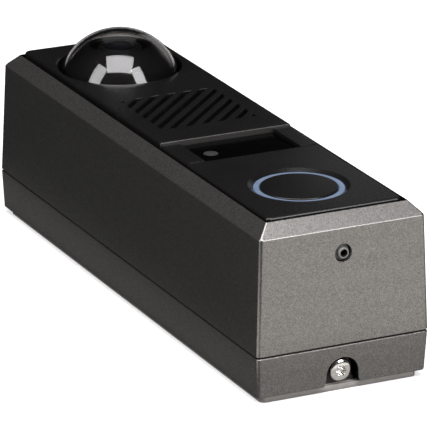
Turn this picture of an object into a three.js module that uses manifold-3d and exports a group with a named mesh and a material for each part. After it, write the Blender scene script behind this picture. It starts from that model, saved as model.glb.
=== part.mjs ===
// Slim door intercom panel, lying on its back: +Z points away from the wall, +Y towards the camera
// dome, and the origin is the centre of the wall bracket's back face. All sizes are in millimetres.

import * as THREE from 'three';
import { mergeVertices } from 'three/addons/utils/BufferGeometryUtils.js';
import Module from 'manifold-3d';

const wasm = await Module();
wasm.setup();

// ---- Driving dimensions -----------------------------------------------------------------------

const GAP = 0.3;                      // clearance between pieces that touch on the real object
const CORNER_STEPS = 3;               // facets in each rounded corner
const ROUND = 28;                     // facets round a large circle
const MEDIUM_ROUND = 20;              // facets round a boss, a grommet or a lens
const SMALL_ROUND = 10;               // facets round a screw or a stem

const HALF_WIDTH = 30;                // at the seam, the widest place
const HALF_LENGTH = 100;
const BASE_Z = 2.3;                   // back of the rear housing
const SEAM_Z = 16;                    // where the two housings meet
const HIP_LOW_Z = 53.7;               // the front housing's walls end and its chamfer begins
const HIP_TOP_Z = 57.95;              // top of the chamfer
const BASE_INSET = 0.65;              // the rear housing tapers in by this much
const HIP_LOW_INSET = 1.3;            // draft of the front housing's walls
const HIP_TOP_INSET = 5.45;
const OUTER_CORNER = 1.4;             // radius of the housings' upright corners
const HIP_CORNER = 0.5;               // the corners' radius on the chamfer, reached soon above its foot
const HIP_CORNER_SHARE = 0.22;        // how far up the chamfer that is
const INNER_CORNER = 1.5;
const WALL = 2.3;
const REAR_WALL = 2.7;
const REAR_FLOOR = 2.5;               // thickness of the rear housing's back

const BRACKET_THICK = 2;
const BRACKET_INSET_X = 2.7;
const BRACKET_INSET_Y = 2.3;
const BRACKET_CORNER = 2;
const LOCK_TAB_Y = -96.4;             // outer face of the bracket's upright tab
const LOCK_TAB_THICK = 1.6;
const LOCK_TAB_RADIUS = 4.6;
const HOOK_Y = 90;                    // the bracket's hook at the dome end
const HOOK_HALF_WIDTH = 6;
const HOOK_TOP_Z = 7.2;
const HOOK_END_Y = 95;

const POCKET_Z = 55.6;                // the ledge that the black front panels lie on
const POCKET_HALF_WIDTH = 24.35;
const POCKET_HALF_LENGTH = 94.35;
const LEDGE_THICK = 2.7;
const LEDGE_HALF_WIDTH = 19.3;        // half the clear opening inside the ledge
const LEDGE_HALF_LENGTH = 89.5;
const LEDGE_CORNER = 4;

const PANEL_HALF_WIDTH = 23.5;
const PANEL_HALF_LENGTH = 93.5;
const PANEL_CORNER = 1.6;
const PANEL_BACK_Z = POCKET_Z + GAP;
const UPPER_COVER_Z = 59.6;           // front faces of the three panels
const BEZEL_Z = 58.8;
const BUTTON_PANEL_Z = 58.55;
const PANEL_EDGE_RADIUS = 0.9;
const UPPER_COVER_END_Y = -16.2;
const BUTTON_PANEL_END_Y = -36.1;
const ABOVE_ALL_Z = 65;               // cutters for the front start below it and reach up to here
const BELOW_PANELS_Z = 50;

const WINDOW_HALF_WIDTH = 17.1;
const WINDOW_Z = 57.7;                // front face of the dark window
const WINDOW_THICK = 0.9;
const LENS_X = -10.6;                 // small round sensor in the window
const LENS_Y = -26.9;
const LENS_RADIUS = 2.55;
const LENS_HOLE_RADIUS = 2.9;
const LENS_CROWN_RADIUS = 6;
const LENS_PROUD = 0.35;              // how far the sensor stands out of the window

const DOME_Y = 66.1;
const DOME_CENTRE_Z = 50.1;
const DOME_RADIUS = 21.6;
const DOME_WALL = 1.5;
const DOME_HOLE_RADIUS = 21.2;
const DOME_FLANGE_RADIUS = 22.3;
const DOME_FLANGE_TOP_Z = 52.6;
const DOME_FLANGE_THICK = 1.4;
const SHROUD_RADIUS = 19.6;
const SHROUD_WALL = 1.2;
const SHROUD_APERTURE = 57.6;         // degrees above the dome's equator

const BARREL_RADIUS = 8.2;
const BARREL_TIP_RADIUS = 7.4;
const BARREL_BORE = 5.2;
const BARREL_LOW_Z = 47.6;
const BARREL_TOP_Z = 66;
const FRONT_LENS_RADIUS = 4.9;
const FRONT_LENS_CROWN = 8.4;         // radius of the lens's curved face
const FRONT_LENS_LOW_Z = 63.4;
const FRONT_LENS_TOP_Z = 67.4;
const CAMERA_BOARD_Z = 43.5;
const CAMERA_BRACKET_Z = 46;

const GRILLE_Y = 12.4;
const GRILLE_HALF_WIDTH = 17.1;
const GRILLE_HALF_LENGTH = 16.5;
const SLOT_COUNT = 12;
const SLOT_PITCH = 4.17;              // measured across the slots
const SLOT_WIDTH = 1.95;

const MESH_Z = 55;
const BASKET_RADIUS = 16.8;
const MAGNET_RADIUS = 8.8;
const MAGNET_LOW_Z = 41.2;
const MAGNET_TOP_Z = 46.7;

const BUTTON_Y = -68.5;
const BUTTON_RIM_RADIUS = 16.15;      // mouth of the conical recess
const RING_OUTER_RADIUS = 14.4;
const RING_INNER_RADIUS = 12.7;
const RING_FLANGE_RADIUS = 16.4;
const RING_BACK_Z = 54.2;
const CAP_RADIUS = 12.4;
const RING_Z = BUTTON_PANEL_Z - 0.85;
const CAP_Z = RING_Z + 0.4;
const CAP_SKIRT = 3.1;                // depth of the cap's skirt and of the pocket inside it
const CAP_FRONT_THICK = 1.1;
const CAP_POCKET_RADIUS = 8;
const STEM_RADIUS = 3;
const STEM_LOW_Z = 51.2;
const SPRING_RADIUS = 5.6;
const SPRING_WIRE = 0.32;
const SPRING_TURNS = 2.5;
const SPRING_LOW_Z = 54;
const SPRING_HIGH_Z = CAP_Z - CAP_FRONT_THICK - GAP;

const LED_BOARD_Z = 52;
const BUTTON_BOARD_Z = 45;
const CARRIER_RADIUS = 18.2;

const NOTCH_HALF_WIDTH = 5.6;         // arch in the rear housing for the locking screw
const NOTCH_CENTRE_Z = 6;
const NOTCH_DEPTH_Y = -93.2;
const LOCK_SCREW_Z = 6.75;
const LOCK_HEAD_RADIUS = 3.75;
const LOCK_SHANK_RADIUS = 1.95;

const MIC_Z = 45.75;
const MIC_PORT_RADIUS = 2.6;
const MIC_TUBE_RADIUS = 1.75;
const MIC_HOLE_RADIUS = 1.15;
const MIC_FLANGE_RADIUS = 3.6;
const MIC_FACE_Y = -99.35;            // mouth of the port, level with the end wall

const BOARD_THICK = 1.6;
const MAIN_BOARD_Z = 22;
const FRAME_Z = 38.5;                 // inner frame that carries the front modules
const FRAME_THICK = 2;
const CABLE_Y = -50;                  // cable entry in the back
const CABLE_HOLE_RADIUS = 11;
const CORNER_X = 23.4;                // housing screws, one near each corner
const CORNER_Y = 93.4;
const BOSS_RADIUS = 3.7;              // rear housing's screw boss
const BOSS_TOP_Z = 12.8;
const POST_LOW_Z = 19.2;              // foot of the front housing's screw post
const HOUSING_SCREW_TOP_Z = 29;
const HOLE_RADIUS = 1.8;              // clearance hole for a housing screw or a standoff screw

// ---- Solids -----------------------------------------------------------------------------------

function toSolid(geometry) {
  const bare = geometry.index ? geometry : mergeVertices(geometry);
  bare.deleteAttribute('normal');
  bare.deleteAttribute('uv');
  const merged = mergeVertices(bare, 1e-5);
  const mesh = new wasm.Mesh({
    numProp: 3,
    vertProperties: new Float32Array(merged.attributes.position.array),
    triVerts: new Uint32Array(merged.index.array),
  });
  return new wasm.Manifold(mesh);
}

function toGeometry(solid) {
  const mesh = solid.getMesh();
  const geometry = new THREE.BufferGeometry();
  geometry.setAttribute('position', new THREE.BufferAttribute(new Float32Array(mesh.vertProperties), 3));
  geometry.setIndex(new THREE.BufferAttribute(new Uint32Array(mesh.triVerts), 1));
  geometry.computeVertexNormals();
  return geometry;
}

function box([x0, x1], [y0, y1], [z0, z1]) {
  const geometry = new THREE.BoxGeometry(x1 - x0, y1 - y0, z1 - z0);
  geometry.translate((x0 + x1) / 2, (y0 + y1) / 2, (z0 + z1) / 2);
  return toSolid(geometry);
}

function disc(radius, [z0, z1], x = 0, y = 0, facets = ROUND) {
  const geometry = new THREE.CylinderGeometry(radius, radius, z1 - z0, facets);
  geometry.rotateX(Math.PI / 2);
  geometry.translate(x, y, (z0 + z1) / 2);
  return toSolid(geometry);
}

// Turns a profile of [radius, height] points, listed anticlockwise, about an upright axis.
// A profile that doesn't start on the axis is closed into a ring.
function turned(profile, x = 0, y = 0, facets = ROUND) {
  const points = profile.map(([r, z]) => new THREE.Vector2(r, z));
  if (profile[0][0] > 0) points.push(points[0].clone());
  const geometry = new THREE.LatheGeometry(points, facets);
  geometry.rotateX(Math.PI / 2);
  geometry.translate(x, y, 0);
  return toSolid(geometry);
}

function ring(inner, outer, [z0, z1], x = 0, y = 0, facets = ROUND) {
  return turned([[inner, z0], [outer, z0], [outer, z1], [inner, z1]], x, y, facets);
}

// Points on an arc of a profile, from one angle to another in degrees.
function arc(radius, centreZ, from, to, steps) {
  const points = [];
  for (let i = 0; i <= steps; i++) {
    const angle = THREE.MathUtils.degToRad(from + ((to - from) * i) / steps);
    points.push([radius * Math.cos(angle), centreZ + radius * Math.sin(angle)]);
  }
  return points;
}

function roundedRing(halfX, halfY, radius, z) {
  const points = [];
  for (let quarter = 0; quarter < 4; quarter++) {
    const signX = quarter === 0 || quarter === 3 ? 1 : -1;
    const signY = quarter < 2 ? 1 : -1;
    for (let i = 0; i <= CORNER_STEPS; i++) {
      const angle = (Math.PI / 2) * (quarter + i / CORNER_STEPS);
      points.push(
        signX * (halfX - radius) + radius * Math.cos(angle),
        signY * (halfY - radius) + radius * Math.sin(angle),
        z,
      );
    }
  }
  return points;
}

// Closed solid through rounded rectangles, one for each [z, halfX, halfY, radius], low to high.
function lofted(levels) {
  const positions = levels.flatMap(([z, halfX, halfY, radius]) => roundedRing(halfX, halfY, radius, z));
  const count = 4 * (CORNER_STEPS + 1);
  const indices = [];
  for (let level = 0; level < levels.length - 1; level++) {
    for (let i = 0; i < count; i++) {
      const a = level * count + i;
      const b = level * count + ((i + 1) % count);
      indices.push(a, b, b + count, a, b + count, a + count);
    }
  }
  const top = (levels.length - 1) * count;
  for (let i = 1; i < count - 1; i++) {
    indices.push(0, i + 1, i, top, top + i, top + i + 1);
  }
  const geometry = new THREE.BufferGeometry();
  geometry.setAttribute('position', new THREE.Float32BufferAttribute(positions, 3));
  geometry.setIndex(indices);
  return toSolid(geometry);
}

// A panel with a rounded front edge, cut to the stretch of Y that it covers.
function frontPanel(frontZ, [y0, y1]) {
  const levels = [[PANEL_BACK_Z, PANEL_HALF_WIDTH, PANEL_HALF_LENGTH, PANEL_CORNER]];
  for (const angle of [0, 30, 60, 90]) {
    const turn = THREE.MathUtils.degToRad(angle);
    const inset = PANEL_EDGE_RADIUS * (1 - Math.cos(turn));
    const z = frontZ - PANEL_EDGE_RADIUS * (1 - Math.sin(turn));
    levels.push([z, PANEL_HALF_WIDTH - inset, PANEL_HALF_LENGTH - inset, PANEL_CORNER]);
  }
  return lofted(levels).intersect(box([-HALF_WIDTH, HALF_WIDTH], [y0, y1], [BELOW_PANELS_Z, ABOVE_ALL_Z]));
}

function withoutAll(solid, cutters) {
  return cutters.reduce((rest, cutter) => rest.subtract(cutter), solid);
}

function joined(solids) {
  return solids.reduce((whole, solid) => whole.add(solid));
}

// The same turned shape lying along Y, its profile heights running towards +Y.
function alongY(solid, y, z) {
  return solid.rotate([-90, 0, 0]).translate([0, y, z]);
}

function atCorners(make) {
  return [[1, 1], [-1, 1], [-1, -1], [1, -1]].map(([sx, sy]) => make(sx * CORNER_X, sy * CORNER_Y));
}

// A screw standing head down: a domed head below z0 and a plain shank up to z1.
function screw(headRadius, headHeight, shankRadius, z0, z1, x, y) {
  const profile = [
    [0, z0 - headHeight],
    [headRadius * 0.6, z0 - headHeight],
    [headRadius, z0 - headHeight * 0.45],
    [headRadius, z0],
    [shankRadius, z0],
    [shankRadius, z1],
    [0, z1],
  ];
  const slot = headRadius * 0.5;
  const body = turned(profile, x, y, SMALL_ROUND);
  const arm = headRadius * 0.16;
  const bottom = [z0 - headHeight - 1, z0 - headHeight * 0.5];
  const cross = box([x - slot, x + slot], [y - arm, y + arm], bottom)
    .add(box([x - arm, x + arm], [y - slot, y + slot], bottom));
  return body.subtract(cross);
}

// ---- Materials --------------------------------------------------------------------------------

const material = (color, roughness, metalness, extra = {}) =>
  new THREE.MeshStandardMaterial({ color, roughness, metalness, ...extra });

const paintedMetal = material(0x5d5a56, 0.45, 0.6);
const steel = material(0xb4b2ae, 0.3, 0.95);
const blackPlastic = material(0x161517, 0.5, 0);
const darkGlass = material(0x060608, 0.08, 0, { transparent: true, opacity: 0.9 });
const clearPlastic = material(0x3a3a3e, 0.04, 0, { transparent: true, opacity: 0.35 });
const lensGlass = material(0x20242c, 0.03, 0);
const litPlastic = material(0x9fb8e0, 0.35, 0);
const greyLens = material(0xb9b8bd, 0.3, 0);
const innerPlastic = material(0x2b2b2d, 0.6, 0);
const silicone = material(0x1d1d1e, 0.85, 0);
const circuitBoard = material(0x174a2c, 0.5, 0.1);
const ferrite = material(0x3c3b3e, 0.45, 0.7);
const paperCone = material(0x2a2724, 0.9, 0);
const connectorGrey = material(0xa9aaac, 0.35, 0.8);
const terminalGreen = material(0x2f7d4f, 0.55, 0);

// ---- Housings and wall bracket ------------------------------------------------------------------

function frontHousing() {
  const between = (from, to) => THREE.MathUtils.lerp(from, to, HIP_CORNER_SHARE);
  const turnInset = between(HIP_LOW_INSET, HIP_TOP_INSET);
  const outer = lofted([
    [SEAM_Z + GAP / 2, HALF_WIDTH, HALF_LENGTH, OUTER_CORNER],
    [HIP_LOW_Z, HALF_WIDTH - HIP_LOW_INSET, HALF_LENGTH - HIP_LOW_INSET, OUTER_CORNER],
    [between(HIP_LOW_Z, HIP_TOP_Z), HALF_WIDTH - turnInset, HALF_LENGTH - turnInset, HIP_CORNER],
    [HIP_TOP_Z, HALF_WIDTH - HIP_TOP_INSET, HALF_LENGTH - HIP_TOP_INSET, HIP_CORNER],
  ]);
  const ceiling = POCKET_Z - LEDGE_THICK;
  const throughLedge = [ceiling - 1, POCKET_Z + 1];
  const cavityInset = HIP_LOW_INSET + WALL;
  const cavity = lofted([
    [SEAM_Z - 1, HALF_WIDTH - WALL, HALF_LENGTH - WALL, INNER_CORNER],
    [ceiling, HALF_WIDTH - cavityInset, HALF_LENGTH - cavityInset, INNER_CORNER],
  ]);
  const pocket = lofted([POCKET_Z, HIP_TOP_Z + 1].map((z) =>
    [z, POCKET_HALF_WIDTH, POCKET_HALF_LENGTH, OUTER_CORNER]));
  const opening = lofted(throughLedge.map((z) => [z, LEDGE_HALF_WIDTH, LEDGE_HALF_LENGTH, LEDGE_CORNER]));
  const domeSeat = disc(DOME_FLANGE_RADIUS + GAP, throughLedge, 0, DOME_Y);
  const micHole = alongY(disc(MIC_PORT_RADIUS + GAP, [-2 * WALL, 2 * WALL], 0, 0, MEDIUM_ROUND),
    WALL - HALF_LENGTH, MIC_Z);
  const shell = withoutAll(outer, [cavity, pocket, opening, domeSeat, micHole]);
  const postSpan = (centre) => [centre - 3.2 * Math.sign(centre), centre + 4.6 * Math.sign(centre)]
    .sort((a, b) => a - b);
  const posts = atCorners((x, y) => box(postSpan(x), postSpan(y), [POST_LOW_Z, ceiling + 0.5]));
  const screwHoles = atCorners((x, y) =>
    disc(HOLE_RADIUS, [POST_LOW_Z - 1, HOUSING_SCREW_TOP_Z + 2], x, y, SMALL_ROUND));
  const coverHoles = coverScrewPlaces.map(([x, y]) => disc(1.5, throughLedge, x, y, SMALL_ROUND));
  return withoutAll(joined([shell, ...posts]), [...screwHoles, ...coverHoles]);
}

function rearHousing() {
  const top = SEAM_Z - GAP / 2;
  const outer = lofted([
    [BASE_Z, HALF_WIDTH - BASE_INSET, HALF_LENGTH - BASE_INSET, OUTER_CORNER],
    [top, HALF_WIDTH, HALF_LENGTH, OUTER_CORNER],
  ]);
  const cavity = lofted([BASE_Z + REAR_FLOOR, top + 1].map((z) =>
    [z, HALF_WIDTH - REAR_WALL, HALF_LENGTH - REAR_WALL, INNER_CORNER]));
  const niche = box([-8, 8], [-98.5, -91.5], [BASE_Z + 0.5, 12.9]);
  const bosses = atCorners((x, y) => disc(BOSS_RADIUS, [BASE_Z + 1, BOSS_TOP_Z], x, y, MEDIUM_ROUND));
  const headRecesses = atCorners((x, y) => disc(3.1, [0, 5.2], x, y, MEDIUM_ROUND));
  const screwHoles = atCorners((x, y) => disc(HOLE_RADIUS, [0, BOSS_TOP_Z + 1], x, y, SMALL_ROUND));
  const notchSpan = [-HALF_LENGTH - 1, NOTCH_DEPTH_Y];
  const arch = alongY(disc(NOTCH_HALF_WIDTH, notchSpan, 0, 0, ROUND), 0, NOTCH_CENTRE_Z);
  const mouth = box([-NOTCH_HALF_WIDTH, NOTCH_HALF_WIDTH], notchSpan, [0, NOTCH_CENTRE_Z]);
  const cableHole = disc(CABLE_HOLE_RADIUS, [0, 8], 0, CABLE_Y, MEDIUM_ROUND);
  const hookSlot = box([-HOOK_HALF_WIDTH - 0.6, HOOK_HALF_WIDTH + 0.6], [HOOK_Y - 3.6, HOOK_Y + 1.9], [0, 8]);
  return withoutAll(joined([outer.subtract(cavity), niche, ...bosses]),
    [...headRecesses, ...screwHoles, arch, mouth, cableHole, hookSlot]);
}

function wallBracket() {
  const halfX = HALF_WIDTH - BRACKET_INSET_X;
  const halfY = HALF_LENGTH - BRACKET_INSET_Y;
  const plate = lofted([0, BRACKET_THICK].map((z) => [z, halfX, halfY, BRACKET_CORNER]));
  const tabY = [LOCK_TAB_Y, LOCK_TAB_Y + LOCK_TAB_THICK];
  const tab = joined([
    alongY(disc(LOCK_TAB_RADIUS, tabY, 0, 0, MEDIUM_ROUND), 0, LOCK_SCREW_Z),
    box([-LOCK_TAB_RADIUS, LOCK_TAB_RADIUS], tabY, [1, LOCK_SCREW_Z]),
    box([-LOCK_TAB_RADIUS - 0.6, LOCK_TAB_RADIUS + 0.6], tabY, [1, 3.6]),
  ]);
  const hookX = [-HOOK_HALF_WIDTH, HOOK_HALF_WIDTH];
  const hook = box(hookX, [HOOK_Y, HOOK_Y + 1.6], [1, HOOK_TOP_Z])
    .add(box(hookX, [HOOK_Y, HOOK_END_Y], [HOOK_TOP_Z - 1.6, HOOK_TOP_Z]));
  const lockHole = alongY(
    disc(LOCK_SHANK_RADIUS + GAP, [LOCK_TAB_Y - 1, LOCK_TAB_Y + 3], 0, 0, SMALL_ROUND), 0, LOCK_SCREW_Z);
  const through = (halfLong, halfTall, radius, x, y) =>
    lofted([-1, BRACKET_THICK + 1].map((z) => [z, halfLong, halfTall, radius])).translate([x, y, 0]);
  const cableOpening = through(15, 20, 5, 0, CABLE_Y);
  const wallSlots = [[0, 82], [0, 62], [0, -84], [-18, -10], [18, -10]].map(([x, y]) =>
    through(2.3, 4.2, 2.2, x, y));
  return withoutAll(joined([plate, tab, hook]), [lockHole, cableOpening, ...wallSlots]);
}

function housingGasket() {
  const inset = 3.1;
  const width = 1.4;
  const span = [SEAM_Z - 2.8, SEAM_Z + 2.8];
  const frameLevel = (z, extra) => [z, HALF_WIDTH - inset - extra, HALF_LENGTH - inset - extra, 0.8];
  const outer = lofted(span.map((z) => frameLevel(z, 0)));
  const inner = lofted([frameLevel(span[0] - 1, width), frameLevel(span[1] + 1, width)]);
  return outer.subtract(inner);
}

function lockingScrew() {
  const head = turned([
    [0, -2.2], [1.9, -2.15], [3.0, -1.7], [3.6, -0.9], [LOCK_HEAD_RADIUS, 0],
    [LOCK_SHANK_RADIUS, 0], [LOCK_SHANK_RADIUS, 3.2], [0, 3.2],
  ], 0, 0, MEDIUM_ROUND);
  const socketSpan = [-3, -1];
  const lobes = [];
  for (let i = 0; i < 6; i++) {
    const angle = (i * Math.PI) / 3;
    lobes.push(disc(0.52, socketSpan, 1.25 * Math.cos(angle), 1.25 * Math.sin(angle), 8));
  }
  const socket = joined([disc(1.2, socketSpan, 0, 0, 12), ...lobes]);
  const pin = disc(0.5, [-1.5, -0.5], 0, 0, 8);
  return alongY(head.subtract(socket).add(pin), LOCK_TAB_Y - GAP, LOCK_SCREW_Z);
}

// ---- Front panels -------------------------------------------------------------------------------

const PANEL_SCREW_RADIUS = 1.05;
const PANEL_SCREW_TOP_Z = 57;
const coverScrewPlaces = [36, -8, -45, -84].flatMap((y) => [[-21.2, y], [21.2, y]]);

function panelScrewHoles() {
  return coverScrewPlaces.map(([x, y]) =>
    disc(PANEL_SCREW_RADIUS + GAP, [PANEL_BACK_Z - 1, PANEL_SCREW_TOP_Z + GAP], x, y, SMALL_ROUND));
}

function grilleSlots() {
  const heights = [BELOW_PANELS_Z, ABOVE_ALL_Z];
  const field = box([-GRILLE_HALF_WIDTH, GRILLE_HALF_WIDTH],
    [GRILLE_Y - GRILLE_HALF_LENGTH, GRILLE_Y + GRILLE_HALF_LENGTH], heights);
  const slots = [];
  for (let i = 0; i < SLOT_COUNT; i++) {
    const offset = (i - (SLOT_COUNT - 1) / 2) * SLOT_PITCH;
    const long = 2 * (GRILLE_HALF_WIDTH + GRILLE_HALF_LENGTH);
    slots.push(box([-long, long], [offset - SLOT_WIDTH / 2, offset + SLOT_WIDTH / 2], heights)
      .rotate([0, 0, 45])
      .translate([0, GRILLE_Y, 0])
      .intersect(field));
  }
  return slots;
}

function upperCover() {
  const plate = frontPanel(UPPER_COVER_Z, [UPPER_COVER_END_Y, HALF_LENGTH]);
  const bowlRadius = DOME_HOLE_RADIUS + 1.6;
  const hole = turned([
    [0, BELOW_PANELS_Z], [DOME_HOLE_RADIUS, BELOW_PANELS_Z], [DOME_HOLE_RADIUS, UPPER_COVER_Z - 1],
    [bowlRadius, UPPER_COVER_Z + 0.2], [bowlRadius, ABOVE_ALL_Z], [0, ABOVE_ALL_Z],
  ], 0, DOME_Y, 36);
  return withoutAll(plate, [hole, ...grilleSlots(), ...panelScrewHoles()]);
}

const lensHole = () =>
  disc(LENS_HOLE_RADIUS, [BELOW_PANELS_Z, ABOVE_ALL_Z], LENS_X, LENS_Y, MEDIUM_ROUND);

function windowBezel() {
  const plate = frontPanel(BEZEL_Z, [BUTTON_PANEL_END_Y + GAP, UPPER_COVER_END_Y - GAP]);
  const pocket = box([-WINDOW_HALF_WIDTH, WINDOW_HALF_WIDTH],
    [BUTTON_PANEL_END_Y - 1, UPPER_COVER_END_Y + 1], [WINDOW_Z - WINDOW_THICK - GAP, ABOVE_ALL_Z]);
  return withoutAll(plate, [pocket, lensHole()]);
}

function sensorWindow() {
  const plate = box([GAP - WINDOW_HALF_WIDTH, WINDOW_HALF_WIDTH - GAP],
    [BUTTON_PANEL_END_Y + GAP, UPPER_COVER_END_Y - GAP], [WINDOW_Z - WINDOW_THICK, WINDOW_Z]);
  return plate.subtract(lensHole());
}

function sensorLens() {
  const top = WINDOW_Z + LENS_PROUD;
  const crown = arc(LENS_CROWN_RADIUS, top - LENS_CROWN_RADIUS, 64.5, 90, 3);
  const low = 54.5;
  return turned([[0, low], [LENS_RADIUS, low], ...crown.slice(0, -1), [0, top]], LENS_X, LENS_Y,
    MEDIUM_ROUND);
}

function buttonPanel() {
  const plate = frontPanel(BUTTON_PANEL_Z, [-HALF_LENGTH, BUTTON_PANEL_END_Y]);
  const throat = RING_OUTER_RADIUS + GAP;
  const recess = turned([
    [0, BELOW_PANELS_Z], [throat, BELOW_PANELS_Z], [throat, RING_Z],
    [BUTTON_RIM_RADIUS, BUTTON_PANEL_Z], [BUTTON_RIM_RADIUS, ABOVE_ALL_Z], [0, ABOVE_ALL_Z],
  ], 0, BUTTON_Y, 36);
  return withoutAll(plate, [recess, ...panelScrewHoles()]);
}

// ---- Camera and dome ------------------------------------------------------------------------------

function domeCover() {
  const flangeLow = DOME_FLANGE_TOP_Z - DOME_FLANGE_THICK;
  const inner = DOME_RADIUS - DOME_WALL;
  const angleAt = (radius, z) => THREE.MathUtils.radToDeg(Math.asin((z - DOME_CENTRE_Z) / radius));
  const outside = arc(DOME_RADIUS, DOME_CENTRE_Z, angleAt(DOME_RADIUS, DOME_FLANGE_TOP_Z), 90, 8);
  const inside = arc(inner, DOME_CENTRE_Z, 90, angleAt(inner, flangeLow), 7);
  outside[outside.length - 1][0] = 0;
  inside[0][0] = 0;
  const rim = [[DOME_FLANGE_RADIUS, flangeLow], [DOME_FLANGE_RADIUS, DOME_FLANGE_TOP_Z]];
  return turned([...inside, ...rim, ...outside], 0, DOME_Y, 32);
}

const domeSeal = () =>
  ring(DOME_RADIUS + 0.15, DOME_FLANGE_RADIUS, [DOME_FLANGE_TOP_Z + GAP, POCKET_Z], 0, DOME_Y, 32);
const domeRing = () => {
  const top = DOME_FLANGE_TOP_Z - DOME_FLANGE_THICK - GAP;
  return ring(SHROUD_RADIUS + GAP, DOME_FLANGE_RADIUS, [top - 2, top], 0, DOME_Y, 32);
};

function cameraShroud() {
  const outside = arc(SHROUD_RADIUS, DOME_CENTRE_Z, 4, SHROUD_APERTURE, 5);
  const inside = arc(SHROUD_RADIUS - SHROUD_WALL, DOME_CENTRE_Z, SHROUD_APERTURE, 4, 5);
  return turned([...outside, ...inside], 0, DOME_Y, ROUND);
}

function lensBarrel() {
  const shoulder = BARREL_TOP_Z - 4.8;
  return turned([
    [BARREL_BORE, BARREL_LOW_Z], [BARREL_RADIUS, BARREL_LOW_Z], [BARREL_RADIUS, shoulder - 0.8],
    [BARREL_TIP_RADIUS, shoulder], [BARREL_TIP_RADIUS, BARREL_TOP_Z - 0.6],
    [BARREL_TIP_RADIUS - 0.5, BARREL_TOP_Z], [BARREL_BORE + 1, BARREL_TOP_Z],
    [BARREL_BORE, BARREL_TOP_Z - 1.6],
  ], 0, DOME_Y, MEDIUM_ROUND);
}

function frontLens() {
  const crown = arc(FRONT_LENS_CROWN, FRONT_LENS_TOP_Z - FRONT_LENS_CROWN, 54, 90, 4);
  return turned([
    [0, FRONT_LENS_LOW_Z], [FRONT_LENS_RADIUS, FRONT_LENS_LOW_Z], ...crown.slice(0, -1),
    [0, FRONT_LENS_TOP_Z],
  ], 0, DOME_Y, MEDIUM_ROUND);
}

const squareAt = (half, y, [z0, z1]) => box([-half, half], [y - half, y + half], [z0, z1]);
const boardSpan = (z) => [z, z + BOARD_THICK];
const imageSensor = () => {
  const low = CAMERA_BOARD_Z + BOARD_THICK + GAP;
  return squareAt(4, DOME_Y, [low, low + 1.8]);
};
const cameraBoard = () => squareAt(14, DOME_Y, boardSpan(CAMERA_BOARD_Z));

function cameraBracket() {
  const low = CAMERA_BRACKET_Z;
  const plate = lofted([low, low + 1.3].map((z) => [z, 21.4, 21.4, 4])).translate([0, DOME_Y, 0]);
  const bore = BARREL_RADIUS + 0.4;
  const collar = ring(bore, bore + 1.6, [low, low + 10], 0, DOME_Y, MEDIUM_ROUND);
  const feet = [[1, 1], [-1, 1], [-1, -1], [1, -1]].map(([sx, sy]) =>
    disc(2.2, [FRAME_Z + FRAME_THICK + GAP, low + 0.5], sx * 17.5, DOME_Y + sy * 17.5, SMALL_ROUND));
  const hole = disc(bore + 0.1, [low - 1, low + 2], 0, DOME_Y, MEDIUM_ROUND);
  return joined([plate, ...feet]).subtract(hole).add(collar);
}

// ---- Speaker and microphone -------------------------------------------------------------------------

function speakerMesh() {
  return lofted([MESH_Z, MESH_Z + 0.5].map((z) => [z, 18, 17.4, 1.5])).translate([0, GRILLE_Y, 0]);
}

function speakerBasket() {
  const rim = BASKET_RADIUS;
  return turned([
    [0, 47], [10.2, 47], [rim - 3.2, 52], [rim, 52.8], [rim, 54.6], [rim - 1.4, 54.6], [rim - 1.4, 53.7],
    [12.8, 52.9], [9.3, 48.2], [0, 48.2],
  ], 0, GRILLE_Y, MEDIUM_ROUND);
}

function speakerCone() {
  return turned([
    [0, 50.6], [3.4, 49.4], [4.2, 48.6], [12.6, 53.5], [15, 54.1], [15, 54.6], [12.2, 54.2],
    [4.6, 49.8], [3.6, 50.2], [0, 51.4],
  ], 0, GRILLE_Y, MEDIUM_ROUND);
}

function speakerMagnet() {
  const chamfer = 0.4;
  return turned([
    [0, MAGNET_LOW_Z], [MAGNET_RADIUS - chamfer, MAGNET_LOW_Z], [MAGNET_RADIUS, MAGNET_LOW_Z + chamfer],
    [MAGNET_RADIUS, MAGNET_TOP_Z - chamfer], [MAGNET_RADIUS - chamfer, MAGNET_TOP_Z], [0, MAGNET_TOP_Z],
  ], 0, GRILLE_Y, MEDIUM_ROUND);
}

function micGrommet() {
  const profile = [
    [MIC_HOLE_RADIUS, 0], [MIC_TUBE_RADIUS, 0], [MIC_TUBE_RADIUS, 1.8], [MIC_PORT_RADIUS, 1.8],
    [MIC_PORT_RADIUS, 3.6], [MIC_FLANGE_RADIUS, 3.6], [MIC_FLANGE_RADIUS, 4.65], [MIC_HOLE_RADIUS, 4.65],
  ];
  return alongY(turned(profile, 0, 0, MEDIUM_ROUND), MIC_FACE_Y, MIC_Z);
}

const micCapsule = () => alongY(disc(3, [0, 2.7], 0, 0, MEDIUM_ROUND), MIC_FACE_Y + 4.95, MIC_Z);

// ---- Call button ------------------------------------------------------------------------------------

function callButton() {
  const skirt = CAP_Z - CAP_SKIRT;
  const pocketTop = CAP_Z - CAP_FRONT_THICK;
  return turned([
    [0, STEM_LOW_Z], [STEM_RADIUS, STEM_LOW_Z], [STEM_RADIUS, pocketTop], [CAP_POCKET_RADIUS, pocketTop],
    [CAP_POCKET_RADIUS, skirt], [CAP_RADIUS, skirt], [CAP_RADIUS, CAP_Z - 0.45],
    [CAP_RADIUS - 0.13, CAP_Z - 0.2], [CAP_RADIUS - 0.45, CAP_Z], [0, CAP_Z],
  ], 0, BUTTON_Y, 36);
}

function lightRing() {
  const flangeTop = PANEL_BACK_Z - GAP;
  return turned([
    [RING_INNER_RADIUS, RING_BACK_Z], [RING_FLANGE_RADIUS, RING_BACK_Z], [RING_FLANGE_RADIUS, flangeTop],
    [RING_OUTER_RADIUS, flangeTop], [RING_OUTER_RADIUS, RING_Z], [RING_INNER_RADIUS, RING_Z],
  ], 0, BUTTON_Y, 36);
}

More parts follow.
